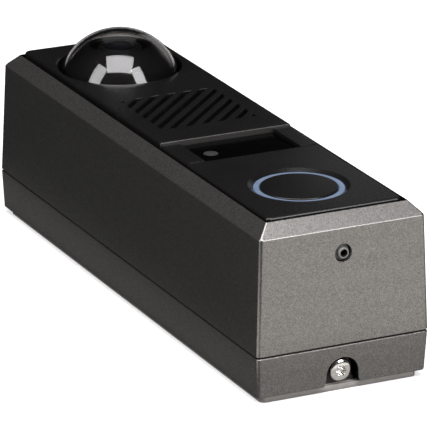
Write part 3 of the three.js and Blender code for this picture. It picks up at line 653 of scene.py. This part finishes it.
def port_rubber():
    """Grey silicone round the microphone's port, with near-black painted shade inside the bore."""
    n = Nodes("port_rubber")
    grain = n.noise(1800, detail=3)
    grey = n.between(grain, (0.18, 0.175, 0.17), (0.24, 0.235, 0.23))
    # painted shade: near-black colour inside the bore, where shade falls
    painted_shade = n.between(grain, (0.004, 0.004, 0.004), (0.007, 0.007, 0.007))
    color = n.mixed(grey, painted_shade, n.bore(MIC_CENTRE.z, MIC_BORE_RADIUS + 0.09))
    return n.surface(color, n.spread(grain, 0.62, 0.82), n.bump(grain, 0.00003, 0.5))


def inner_black():
    """Matt moulded plastic inside the camera and behind the panels."""
    return grained("inner_black", 2400, 2, (0.010, 0.010, 0.011), (0.018, 0.018, 0.019), (0.45, 0.62),
                   0.00002, 0.5)


def circuit_green():
    """Solder mask with tracks showing through as slightly lighter cells."""
    n = Nodes("circuit_green")
    tracks = n.cells(900, "Distance")
    color = n.ramp(tracks, [(0.0, (0.006, 0.055, 0.022)), (0.45, (0.006, 0.055, 0.022)),
                            (0.5, (0.014, 0.10, 0.04))])
    roughness = n.spread(n.noise(500), 0.28, 0.42)
    return n.surface(color, roughness, n.bump(tracks, 0.00003, 0.4))


def speaker_paper():
    return grained("speaker_paper", 1500, 4, (0.018, 0.016, 0.014), (0.035, 0.031, 0.027), (0.8, 0.95),
                   0.0001, 0.6)


def terminal_plastic():
    return grained("terminal_plastic", 1600, 2, (0.02, 0.16, 0.06), (0.03, 0.21, 0.08), (0.45, 0.6),
                   0.00002, 0.4)


def lens_plastic():
    n = Nodes("lens_plastic")
    cloud = n.noise(700, detail=2)
    color = n.between(cloud, (0.022, 0.022, 0.023), (0.036, 0.035, 0.036))
    return n.surface(color, n.spread(cloud, 0.42, 0.55), IOR=1.5)


PAINT = metallic_paint()
BLACK = satin_black()
CAP_BLACK = cap_black()
WINDOW = window_gloss()
CLEAR = clear_dome()
COATED = coated_glass()
LIT = lit_ring()
BRIGHT = bright_steel()
SCREW = screw_steel()
SHEET = plated_sheet()
RUBBER = soft_rubber()
PORT_RUBBER = port_rubber()
INNER = inner_black()
BOARD = circuit_green()
PAPER = speaker_paper()
TERMINAL = terminal_plastic()
LENS_GREY = lens_plastic()


def dressed(obj, material, body, node):
    """Gives a finished piece its material, hangs it on its body and hides the CAD node it stands for."""
    obj.data.materials.clear()
    obj.data.materials.append(material)
    for polygon in obj.data.polygons:
        polygon.material_index = 0
    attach(obj, body)
    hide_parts(node)
    return obj


# ---- Camera, floor and light ---------------------------------------------------------------------

CAMERA_AZIMUTH = -25.9
CAMERA_ELEVATION = 19.58
CAMERA_ROLL = 0.19
CAMERA_DISTANCE = 1.4311
CAMERA_AIM = Vector((0.00691, 0.00589, 0.02338))
CAMERA_LENS = 362.2


PANEL_MIDDLE_Z = 0.04
CARD_Z = 0.0003
COOL_WHITE = (0.98, 0.98, 1.0)
WARM_WHITE = (1.0, 0.98, 0.95)


def direction(azimuth, elevation):
    """Unit vector towards a place; azimuth 0 is -Y and 90 is +X."""
    a, e = math.radians(azimuth), math.radians(elevation)
    return Vector((math.sin(a) * math.cos(e), -math.cos(a) * math.cos(e), math.sin(e)))


def make_camera():
    data = bpy.data.cameras.new("photo_camera")
    data.lens = CAMERA_LENS
    data.sensor_width = 36
    data.clip_start = 0.05
    data.clip_end = 20
    camera = bpy.data.objects.new("photo_camera", data)
    bpy.context.scene.collection.objects.link(camera)
    back = direction(CAMERA_AZIMUTH, CAMERA_ELEVATION)
    camera.location = CAMERA_AIM + back * CAMERA_DISTANCE
    aim = (-back).to_track_quat("-Z", "Y")
    camera.rotation_mode = "QUATERNION"
    camera.rotation_quaternion = aim @ Matrix.Rotation(math.radians(CAMERA_ROLL), 4, "Z").to_quaternion()
    bpy.context.scene.camera = camera


def make_floor():
    size = 6000
    floor = new_object("studio_floor", [(-size, -size, 0), (size, -size, 0), (size, size, 0),
                                        (-size, size, 0)], [(0, 1, 2, 3)])
    n = Nodes("studio_floor")
    color = n.between(n.noise(3, detail=2), (0.90, 0.90, 0.90), (0.93, 0.93, 0.93))
    floor.data.materials.append(n.surface(color, Roughness=0.9, Emission_Color=(1, 1, 1, 1),
                                          Emission_Strength=0.5))
    floor.visible_glossy = False
    floor.visible_diffuse = False


def area_light(name, size, radiance, color=(1, 1, 1)):
    data = bpy.data.lights.new(name, "AREA")
    data.shape = "RECTANGLE"
    data.size, data.size_y = size
    data.energy = radiance * math.pi * size[0] * size[1]
    data.color = color
    light = bpy.data.objects.new(name, data)
    light.rotation_mode = "QUATERNION"
    light.visible_camera = False
    bpy.context.scene.collection.objects.link(light)
    return light


def softbox(name, azimuth, elevation, distance, size, radiance, color=(1, 1, 1)):
    """A rectangular light that faces the panel's middle."""
    light = area_light(name, size, radiance, color)
    towards = direction(azimuth, elevation)
    light.location = Vector((0, 0, PANEL_MIDDLE_Z)) + towards * distance
    light.rotation_quaternion = towards.to_track_quat("Z", "Y")


def floor_card(name, low, high, radiance, color=(1, 1, 1)):
    """Light bounced up from a white card on the floor."""
    light = area_light(name, (high[0] - low[0], high[1] - low[1]), radiance, color)
    light.location = ((low[0] + high[0]) / 2, (low[1] + high[1]) / 2, CARD_Z)
    light.rotation_quaternion = Matrix.Rotation(math.pi, 4, "X").to_quaternion()


def make_light():
    softbox("overhead", -27.5, 70.0, 1.0, (0.80, 0.62), 6.6, (0.98, 0.97, 1.0))
    softbox("left_strip", -80.5, 34, 1.2, (0.46, 0.93), 5.5, COOL_WHITE)
    softbox("right_strip", 21.5, 34, 1.2, (0.42, 0.93), 7.0, COOL_WHITE)
    softbox("back_high", 157, 50, 1.5, (0.9, 0.5), 0.25)
    softbox("back_right", 132, 16, 0.38, (0.2, 0.12), 0.24)
    floor_card("front_card", (-0.036, -0.95), (0.75, -0.135), 1.02, WARM_WHITE)
    floor_card("near_card", (-0.031, -0.135), (0.30, -0.0990), 0.46, WARM_WHITE)
    floor_card("corner_card", (-0.28, -0.17), (-0.052, -0.097), 1.3, WARM_WHITE)
    floor_card("left_card", (-0.047, -0.12), (-0.0315, 0.16), 0.12)
    world = bpy.data.worlds.new("studio")
    world.use_nodes = True
    background = world.node_tree.nodes["Background"]
    background.inputs["Color"].default_value = (0.012, 0.012, 0.013, 1)
    bpy.context.scene.world = world
    bpy.context.scene.view_settings.view_transform = "Standard"


# ---- Housings and bracket ------------------------------------------------------------------------

def front_corner(inset):
    """The corner radius at an inset: it shrinks up the chamfer, and grows inside the ledge."""
    if inset < POCKET_INSET - 0.1:
        climb = max(0.0, (inset - HIP_LOW_INSET) / HIP_CORNER_RUN)
        return OUTER_CORNER + (HIP_CORNER - OUTER_CORNER) * min(1.0, climb)
    return POCKET_CORNER if inset < LEDGE_INSET - 0.1 else LEDGE_CORNER


def corner_places():
    low, high = box_mm("housing_screw_1")
    x, y = (low.x + high.x) / 2, (low.y + high.y) / 2
    return [(sx * x, sy * y) for sx in (1, -1) for sy in (1, -1)]


def panel_screw_places():
    return [centre_mm(f"panel_screw_{i + 1}")[:2] for i in range(8)]


def front_housing():
    bottom, top = FRONT_LOW.z, HIP_TOP_Z
    ceiling = LEDGE_Z - LEDGE_THICK
    on_hip = (HIP_LOW_INSET + HIP_CORNER_SHARE * (HIP_TOP_INSET - HIP_LOW_INSET),
              HIP_LOW_Z + HIP_CORNER_SHARE * (top - HIP_LOW_Z))
    outline = [(0, bottom), (HIP_LOW_INSET, HIP_LOW_Z), on_hip, (HIP_TOP_INSET, top),
               (POCKET_INSET, top - POCKET_EDGE_DROP), (POCKET_INSET, LEDGE_Z), (LEDGE_INSET, LEDGE_Z),
               (LEDGE_INSET, ceiling), (WALL_TOP_THICK, ceiling), (WALL_SEAM_THICK, bottom)]
    radii = [0.16, 0.75, 0, 0.08, 0.04, 0, 0.2, 0.2, 0.6, 0.2]
    profile = filleted(outline, radii, steps=5, closed=True)

    shell = skin("front_housing_shell", frame_rings(profile, HALF_WIDTH, HALF_LENGTH, front_corner),
                 closed_path=True)
    posts = []
    for x, y in corner_places():
        sx, sy = math.copysign(1, x), math.copysign(1, y)
        xs = sorted((x - POST_REACH * sx, x + POST_ROOT * sx))
        ys = sorted((y - POST_REACH * sy, y + POST_ROOT * sy))
        posts.append(block("post", (xs[0], ys[0], POST_LOW_Z), (xs[1], ys[1], ceiling + 0.5)))
    join(shell, posts)
    through_ledge = (ceiling - 1, LEDGE_Z + 1)
    seat = rod("seat", DOME_FLANGE_RADIUS + GAP, *through_ledge, DOME_CENTRE[:2], 96)
    mic_radius = MIC_NECK_RADIUS + GAP
    mic = laid_along_y(rod("mic_hole", mic_radius, -6, 6, (0, 0)), FRONT_LOW.y, MIC_CENTRE.z)
    holes = [rod("hole", SCREW_HOLE_RADIUS, POST_LOW_Z - 1.2, POST_BORE_TOP_Z, place, 24)
             for place in corner_places()]
    holes += [rod("hole", PANEL_HOLE_RADIUS, *through_ledge, place, 20) for place in panel_screw_places()]
    cut(shell, [seat, mic, *holes])

    def round_mic(p):
        return p.y < FRONT_LOW.y + 2 and abs(p.z - MIC_CENTRE.z) < 3 and abs(p.x) < 3

    bevel_edges(shell, 0.22, 2, round_mic)
    return smooth(shell)


def arch_cutter():
    """The notch's outline, a round arch whose sides flare a little at the foot, as an upright slab."""
    outline = []
    steps = 28
    for i in range(steps + 1):
        angle = math.pi * i / steps
        outline.append((NOTCH_HALF_WIDTH * math.cos(angle),
                        NOTCH_CENTRE_Z + NOTCH_HALF_WIDTH * math.sin(angle)))
    foot = [(-NOTCH_HALF_WIDTH - extra, z) for extra, z in NOTCH_FLARE]
    outline += foot
    outline += [(-x, z) for x, z in reversed(foot)]
    return skin("arch", [[(x, y, z) for x, z in outline] for y in (REAR_LOW.y - 1, NOTCH_BACK_Y)])


def rear_housing():
    bottom, top = REAR_LOW.z, REAR_HIGH.z
    shoulder = top - RIM_HEIGHT
    floor_top = bottom + TRAY_FLOOR
    outline = [(BASE_INSET + 2, bottom), (BASE_INSET, bottom), (0.02, shoulder - 0.18), (0.2, shoulder),
               (RIM_INSET, shoulder), (RIM_INSET, top), (TRAY_WALL, top), (TRAY_WALL, floor_top),
               (TRAY_FLOOR_INSET, floor_top)]
    profile = filleted(outline, [0, 0.35, 0.08, 0.05, 0.05, 0.1, 0.2, 0.5, 0], steps=4)
    tray = skin("rear_housing_tray",
                frame_rings(profile, HALF_WIDTH, HALF_LENGTH,
                            lambda inset: OUTER_CORNER if inset < TRAY_WALL - 0.2 else TRAY_CORNER))
    niche = block("niche", (-NICHE_HALF_WIDTH, NICHE_Y[0], bottom + 0.5),
                  (NICHE_HALF_WIDTH, NICHE_Y[1], NICHE_TOP_Z))
    bosses = [rod("boss", BOSS_RADIUS, bottom + 1, BOSS_TOP_Z, place, 40) for place in corner_places()]
    join(tray, [niche, *bosses])
    cutters = [rod("recess", HEAD_RECESS_RADIUS, 0, HEAD_RECESS_TOP_Z, place, 40)
               for place in corner_places()]
    cutters += [rod("hole", SCREW_HOLE_RADIUS, 0, BOSS_TOP_Z + 1.2, place, 24) for place in corner_places()]
    cutters.append(rod("cable_hole", CABLE_HOLE_RADIUS, 0, 8, CABLE_CENTRE[:2], 64))
    slot_x = HOOK_HALF_WIDTH + 2 * GAP
    cutters.append(block("hook_slot", (-slot_x, HOOK_Y - 3.6, 0), (slot_x, HOOK_Y + BRACKET_SHEET + GAP, 8)))
    cutters.append(arch_cutter())
    cut(tray, cutters)

    def round_notch(p):
        return p.y < REAR_LOW.y + 1.1 and abs(p.x) < 7.2 and bottom + 0.05 < p.z < 12

    bevel_edges(tray, 0.3, 3, round_notch)
    return smooth(tray)


def window_cutter(centre, half_x, half_y, radius):
    """A rounded rectangle through the bracket's plate."""
    ring = [(x + centre[0], y + centre[1], z) for x, y, z in rounded_ring(half_x, half_y, radius, -1)]
    return skin("window", [ring, [(x, y, BRACKET_THICK + 1) for x, y, _ in ring]])


def wall_bracket():
    """A plate with a hook at one end, and at the other a round-topped tab for the locking screw."""
    half_x, half_y = BRACKET_HIGH.x, BRACKET_HIGH.y
    rings = [rounded_ring(half_x, half_y, BRACKET_CORNER, z) for z in (0, BRACKET_THICK)]
    plate = skin("bracket_plate", rings)
    tab_y = SCREW_LOW.y + 2.5
    tab_back_y = tab_y + BRACKET_SHEET
    root_z = BRACKET_THICK / 2
    tab = laid_along_y(rod("tab", TAB_HALF_WIDTH, 0, BRACKET_SHEET, (0, 0)), tab_y, SCREW_CENTRE.z)
    lower = block("lower", (-TAB_HALF_WIDTH, tab_y, root_z), (TAB_HALF_WIDTH, tab_back_y, SCREW_CENTRE.z))
    foot = block("foot", (-TAB_FOOT_HALF_WIDTH, tab_y, root_z),
                 (TAB_FOOT_HALF_WIDTH, tab_back_y, TAB_FOOT_TOP_Z))
    stem = block("stem", (-HOOK_HALF_WIDTH, HOOK_Y, root_z),
                 (HOOK_HALF_WIDTH, HOOK_Y + BRACKET_SHEET, HOOK_TOP_Z))
    lip = block("lip", (-HOOK_HALF_WIDTH, HOOK_Y + BRACKET_SHEET / 2, HOOK_TOP_Z - BRACKET_SHEET),
                (HOOK_HALF_WIDTH, HOOK_END_Y, HOOK_TOP_Z))
    join(plate, [tab, lower, foot, stem, lip])
    cutters = [window_cutter((0, CABLE_CENTRE.y), *CABLE_WINDOW)]
    cutters += [window_cutter(place, *WALL_SLOT) for place in WALL_SLOT_PLACES]
    lock_hole = rod("lock_hole", TAB_HOLE_RADIUS, -1, BRACKET_SHEET + 1.4, (0, 0), 32)
    cutters.append(laid_along_y(lock_hole, tab_y, SCREW_CENTRE.z))
    cut(plate, cutters)
    bevel_edges(plate, 0.22, 2, lambda p: True, 40)
    return smooth(plate)


def locking_screw():
    """A button head with a six-lobed socket, a pin in it, and a plain shank."""
    length, shank, head, head_low = 5.4, 1.95, 3.75, 2.2
    socket_radius, socket_depth, lobe_radius = 1.36, 1.5, 0.46
    profile = [(0.0, length), (shank, length), (shank, head_low), (head - 0.15, head_low),
               (head, head_low - 0.15), (head, 1.1), (3.66, 0.72), (3.4, 0.44), (2.8, 0.22), (2.1, 0.09),
               (1.2, 0.01), (0.0, 0.0)]
    screw = turned("security_screw", profile, steps=72)
    lobe_places = [(socket_radius * math.cos(math.pi / 3 * i), socket_radius * math.sin(math.pi / 3 * i))
                   for i in range(6)]
    lobes = [rod("lobe", lobe_radius, -1, socket_depth, place, 20) for place in lobe_places]
    socket = rod("socket", socket_radius, -1, socket_depth, (0, 0), 36)
    cut(screw, [socket, *lobes])
    join(screw, [rod("pin", 0.5, 0.35, 2, (0, 0), 24)])
    laid_along_y(screw, SCREW_LOW.y, SCREW_CENTRE.z)
    bevel_edges(screw, 0.1, 2, lambda p: p.y < SCREW_LOW.y + 0.6, 30)
    return smooth(screw, 38)


# ---- Front panels --------------------------------------------------------------------------------

def panel_plate(name, low, high, edge_radius, cut_low, cut_high, shorter=0.0):
    """A plate with rounded long edges, cut square at one end or both."""
    half_x = high.x
    half_y = COVER_HIGH.y - shorter
    profile = [(0, low.z), *[(edge_radius * (1 - math.cos(a)), high.z - edge_radius * (1 - math.sin(a)))
                             for a in (math.pi / 16 * i for i in range(9))]]
    plate = skin(name, frame_rings(profile, half_x, half_y, lambda inset: 1.6 - inset * 0.3))
    cutters = []
    if cut_low:
        cutters.append(block("end", (-FAR_X, -FAR_Y, UNDER_PANELS_Z), (FAR_X, low.y, OVER_ALL_Z)))
    if cut_high:
        cutters.append(block("end", (-FAR_X, high.y, UNDER_PANELS_Z), (FAR_X, FAR_Y, OVER_ALL_Z)))
    return cut(plate, cutters)


def dish_cutter(top):
    """A shallow bowl round the dome's hole, wider on the side of the grille."""
    steps, levels, inner = 128, 10, 0.3
    rings = []
    for level in range(levels + 1):
        share = level / levels
        ring = []
        for i in range(steps):
            angle = 2 * math.pi * i / steps
            near = max(0.0, -math.sin(angle))
            reach = DISH_NARROW + DISH_EXTRA * near ** 1.5
            radius = DOME_HOLE_RADIUS - inner + (reach + inner) * share
            depth = DISH_DEPTH * (1 - share) ** 2
            ring.append((DOME_CENTRE.x + radius * math.cos(angle), DOME_CENTRE.y + radius * math.sin(angle),
                         top + 0.004 - depth))
        rings.append(ring)
    rings.append([(x, y, top + 2) for x, y, _ in rings[-1]])
    return skin("dish", rings)


def grille_slots():
    """Diagonal slots, cut off at the grille's rectangle."""
    slots = []
    for i in range(SLOT_COUNT):
        offset = (i - (SLOT_COUNT - 1) / 2) * SLOT_PITCH
        slot = block("slot", (-FAR_X, offset - SLOT_WIDTH / 2, UNDER_PANELS_Z),
                     (FAR_X, offset + SLOT_WIDTH / 2, OVER_ALL_Z))
        slot.data.transform(Matrix.Translation((0, GRILLE_CENTRE.y * MM, 0)) @
                            Matrix.Rotation(math.pi / 4, 4, "Z"))
        field = block("field", (-GRILLE_HALF_WIDTH, GRILLE_CENTRE.y - GRILLE_HALF_LENGTH, UNDER_PANELS_Z - 1),
                      (GRILLE_HALF_WIDTH, GRILLE_CENTRE.y + GRILLE_HALF_LENGTH, OVER_ALL_Z + 1))
        slots.append(combine(slot, [field], "INTERSECT"))
    return slots


def panel_screw_holes():
    """Blind holes in the panels' backs for the screws that come through the ledge."""
    low, top = COVER_LOW.z - 1, box_mm("panel_screw_1")[1].z + GAP
    return [rod("hole", PANEL_THREAD_RADIUS, low, top, place, 20) for place in panel_screw_places()]


def upper_cover():
    top = COVER_HIGH.z
    plate = panel_plate("upper_cover_plate", COVER_LOW, COVER_HIGH, PANEL_EDGE, True, False)
    hole = rod("dome_hole", DOME_HOLE_RADIUS, UNDER_PANELS_Z, OVER_ALL_Z, DOME_CENTRE[:2], 128)
    cut(plate, [dish_cutter(top), hole, *grille_slots(), *panel_screw_holes()])
    end_y = COVER_LOW.y

    def on_grille(p):
        in_width = abs(p.x) < GRILLE_HALF_WIDTH + 0.1
        in_length = abs(p.y - GRILLE_CENTRE.y) < GRILLE_HALF_LENGTH + 0.1
        return p.z > top - 0.02 and in_width and in_length

    bevel_edges(plate, 0.16, 2, on_grille, 40)
    bevel_edges(plate, 0.42, 4, lambda p: p.z > COVER_LOW.z + 0.2 and p.y < end_y + 0.01, 20)
    return smooth(plate)


def lens_hole():
    return rod("lens_hole", LENS_HOLE_RADIUS, UNDER_PANELS_Z, OVER_ALL_Z, LENS_CENTRE[:2])


def window_bezel():
    top = BEZEL_HIGH.z
    plate = panel_plate("window_bezel_frame", BEZEL_LOW, BEZEL_HIGH, PANEL_EDGE, True, True)
    pocket_x = WINDOW_HIGH.x + GAP
    pocket = block("pocket", (-pocket_x, BEZEL_LOW.y - 1, WINDOW_LOW.z - GAP),
                   (pocket_x, BEZEL_HIGH.y + 1, OVER_ALL_Z))
    cut(plate, [pocket, lens_hole()])
    bevel_edges(plate, 0.14, 2, lambda p: p.z > top - 0.02, 40)
    return smooth(plate)


def sensor_window():
    low, high = WINDOW_LOW, WINDOW_HIGH
    far_y = BEZEL_HIGH.y - WINDOW_GROOVE
    half_x, half_y = high.x, (far_y - low.y) / 2
    middle_y = (far_y + low.y) / 2
    profile = filleted([(0.6, low.z), (0, low.z), (0, high.z), (0.6, high.z)], [0, 0.08, 0.12, 0], steps=3)
    rings = [[(x, y + middle_y, z) for x, y, z in ring]
             for ring in frame_rings(profile, half_x, half_y, lambda inset: WINDOW_CORNER)]
    glass = skin("sensor_window_glass", rings)
    cut(glass, [lens_hole()])
    return smooth(glass)


def sensor_lens():
    low, high = box_mm("sensor_lens")
    top = high.z - LENS_SUNK
    edge = math.degrees(math.acos(LENS_RADIUS / LENS_CROWN_RADIUS))
    crown = arc(LENS_CROWN_RADIUS, top - LENS_CROWN_RADIUS, edge, 90, 10)
    profile = [(0.0, low.z), (LENS_RADIUS, low.z), *crown]
    return smooth(turned("sensor_lens_dome", profile, LENS_CENTRE[:2], 48))


def button_panel():
    top = PANEL_HIGH.z
    plate = panel_plate("button_panel_plate", PANEL_LOW, PANEL_HIGH, BUTTON_PANEL_EDGE, False, True,
                        shorter=BUTTON_PANEL_SHORTER)
    wall = RING_OUTER_RADIUS + GAP
    cone_low = RING_HIGH.z - RING_SUNK
    profile = [(0.0, UNDER_PANELS_Z), (wall, UNDER_PANELS_Z), (wall, cone_low), (BUTTON_RIM_RADIUS, top),
               (BUTTON_RIM_RADIUS, OVER_ALL_Z), (0.0, OVER_ALL_Z)]
    recess = turned("recess", profile, BUTTON_CENTRE[:2], 128)
    cut(plate, [recess, *panel_screw_holes()])

    def on_rim(p):
        from_centre = math.hypot(p.x - BUTTON_CENTRE.x, p.y - BUTTON_CENTRE.y)
        return p.z > top - 0.02 and (abs(from_centre - BUTTON_RIM_RADIUS) < 0.1 or p.y > PANEL_HIGH.y - 0.01)

    bevel_edges(plate, 0.12, 2, on_rim, 20)
    return smooth(plate)


# ---- Call button ---------------------------------------------------------------------------------

def call_button():
    top, low = CAP_HIGH.z, CAP_LOW.z
    radius = CAP_HIGH.x
    crown = 0.06
    pocket_top = top - 1.1
    skirt = top - 3.1
    outline = [(0.0, low), (CAP_STEM_RADIUS, low), (CAP_STEM_RADIUS, pocket_top),
               (CAP_POCKET_RADIUS, pocket_top), (CAP_POCKET_RADIUS, skirt), (radius, skirt),
               (radius, top - crown), (0.0, top)]
    profile = filleted(outline, [0, 0.3, 0.2, 0.2, 0.2, 0.2, 0.42, 0], steps=5)
    return smooth(turned("call_button_cap", profile, BUTTON_CENTRE[:2], 128))


def light_ring():
    low, high = RING_LOW.z, RING_HIGH.z
    foot_radius = RING_HIGH.x
    outline = [(RING_INNER_RADIUS, low), (foot_radius, low), (foot_radius, LEDGE_Z),
               (RING_OUTER_RADIUS, LEDGE_Z), (RING_OUTER_RADIUS, high), (RING_INNER_RADIUS, high)]
    profile = filleted(outline, [0.1, 0.1, 0.1, 0.1, 0.16, 0.16], steps=3, closed=True)
    return smooth(turned("light_ring_guide", profile, BUTTON_CENTRE[:2], 128, closed_path=True))


# ---- Camera --------------------------------------------------------------------------------------

def dome_cover():
    flange_low, flange_top = DOME_LOW.z, DOME_LOW.z + DOME_FLANGE_THICK
    inner = DOME_RADIUS - DOME_WALL

    def angle_at(radius, z):
        return math.degrees(math.asin((z - DOME_CENTRE_Z) / radius))

    inside = arc(inner, DOME_CENTRE_Z, 90, angle_at(inner, flange_low), 40)
    outside = arc(DOME_RADIUS, DOME_CENTRE_Z, angle_at(DOME_RADIUS, flange_top), 90, 44)
    profile = [*inside, (DOME_FLANGE_RADIUS, flange_low), (DOME_FLANGE_RADIUS, flange_top), *outside]
    return smooth(turned("dome_shell", profile, DOME_CENTRE[:2], 160))


def camera_shroud():
    outside = arc(SHROUD_RADIUS, DOME_CENTRE_Z, SHROUD_FOOT, SHROUD_APERTURE, 24)
    inside = arc(SHROUD_RADIUS - SHROUD_WALL, DOME_CENTRE_Z, SHROUD_APERTURE, SHROUD_FOOT, 24)
    return smooth(turned("camera_shroud_liner", [*outside, *inside], DOME_CENTRE[:2], 96, closed_path=True))


def lens_barrel():
    low, high = box_mm("lens_barrel")
    base, neck, bore = high.x, high.x - 0.8, 5.2
    outline = [(bore, low.z), (base, low.z), (base, high.z - 5.6), (neck, high.z - 4.8), (neck, high.z - 0.6),
               (neck - 0.5, high.z), (bore + 1, high.z), (bore, high.z - 1.6)]
    profile = filleted(outline, [0.1, 0.2, 0.3, 0.3, 0.2, 0.2, 0.1, 0.1], steps=3, closed=True)
    return smooth(turned("camera_lens_barrel", profile, DOME_CENTRE[:2], 96, closed_path=True))


def front_lens():
    low, high = box_mm("front_lens")
    crown = arc(FRONT_LENS_CROWN_RADIUS, high.z - FRONT_LENS_CROWN_RADIUS, FRONT_LENS_EDGE, 90, 14)
    profile = [(0.0, low.z), (FRONT_LENS_RADIUS, low.z), *crown]
    return smooth(turned("camera_front_lens", profile, DOME_CENTRE[:2], 96))


# ---- Microphone port -----------------------------------------------------------------------------

def mic_grommet():
    """A grommet with a collar round its bore, a neck in the housing's hole, and a flange behind it."""
    collar, flange = 1.75, 3.6
    neck_front, flange_front, back = 1.8, 3.25, 4.3
    outline = [(MIC_BORE_RADIUS, 0), (collar, 0), (collar, neck_front), (MIC_NECK_RADIUS, neck_front),
               (MIC_NECK_RADIUS, flange_front), (flange, flange_front), (flange, back),
               (MIC_BORE_RADIUS, back)]
    profile = filleted(outline, [0.2, 0.2, 0.15, 0.1, 0.1, 0.2, 0.2, 0.1], steps=3, closed=True)
    port = turned("mic_port_grommet", profile, (0, 0), 72, closed_path=True)
    return smooth(laid_along_y(port, MIC_FACE_Y, MIC_CENTRE.z))


# ---- Pieces behind the panels --------------------------------------------------------------------

def refined(node, name, width):
    """A copy of a CAD node with its edges rounded."""
    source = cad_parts[node]
    obj = bpy.data.objects.new(name, source.data.copy())
    bpy.context.scene.collection.objects.link(obj)
    tidy_normals(obj)
    bevel_edges(obj, width, 2, lambda p: True, 40)
    return smooth(obj)


INNER_PIECES = [
    ("housing_gasket", 0.3, RUBBER, "silicone"),
    ("dome_seal", 0.1, RUBBER, "silicone"),
    ("dome_retaining_ring", 0.2, INNER, "inner_plastic"),
    ("image_sensor", 0.1, COATED, "sensor_chip"),
    ("camera_board", 0.1, BOARD, "circuit_board"),
    ("camera_bracket", 0.15, INNER, "inner_plastic"),
    ("speaker_mesh", 0.1, RUBBER, "screw_steel"),
    ("speaker_basket", 0.15, INNER, "inner_plastic"),
    ("speaker_cone", 0.05, PAPER, "paper_cone"),
    ("speaker_magnet", 0.15, BRIGHT, "magnet"),
    ("mic_capsule", 0.2, INNER, "connector_metal"),
    ("sensor_board", 0.1, BOARD, "circuit_board"),
    ("led_board", 0.1, BOARD, "circuit_board"),
    ("tact_switch", 0.1, INNER, "inner_plastic"),
    ("button_board", 0.1, BOARD, "circuit_board"),
    ("button_carrier", 0.2, INNER, "inner_plastic"),
    ("button_spring", 0.02, BRIGHT, "screw_steel"),
    ("main_board", 0.1, BOARD, "circuit_board"),
    ("inner_frame", 0.2, INNER, "inner_plastic"),
    ("network_jack", 0.2, BRIGHT, "connector_metal"),
    ("terminal_block", 0.15, TERMINAL, "terminal_green"),
    ("cable_grommet", 0.2, RUBBER, "silicone"),
]
for prefix, number in (("board_standoff", 4), ("housing_screw", 4), ("panel_screw", 8)):
    INNER_PIECES += [(f"{prefix}_{i + 1}", 0.1, BRIGHT, "screw_steel") for i in range(number)]


# ---- Assembly ------------------------------------------------------------------------------------

make_camera()
make_floor()
make_light()

dressed(front_housing(), PAINT, "panel", "front_housing")
dressed(rear_housing(), PAINT, "panel", "rear_housing")
dressed(wall_bracket(), SHEET, "panel", "wall_bracket")
dressed(locking_screw(), SCREW, "panel", "locking_screw")
dressed(upper_cover(), BLACK, "panel", "upper_cover")
dressed(window_bezel(), BLACK, "panel", "window_bezel")
dressed(sensor_window(), WINDOW, "panel", "sensor_window")
dressed(sensor_lens(), LENS_GREY, "panel", "sensor_lens")
dressed(button_panel(), BLACK, "panel", "button_panel")
dressed(call_button(), CAP_BLACK, "button", "call_button")
dressed(light_ring(), LIT, "panel", "light_ring")
dressed(dome_cover(), CLEAR, "panel", "dome_cover")
dressed(camera_shroud(), INNER, "panel", "camera_shroud")
dressed(lens_barrel(), INNER, "panel", "lens_barrel")
dressed(front_lens(), COATED, "panel", "front_lens")
dressed(mic_grommet(), PORT_RUBBER, "panel", "mic_grommet")

for inner_node, edge_width, inner_material, inner_slot in INNER_PIECES:
    piece = refined(inner_node, f"{inner_node}_piece", edge_width)
    dressed(piece, inner_material, "panel", inner_node)
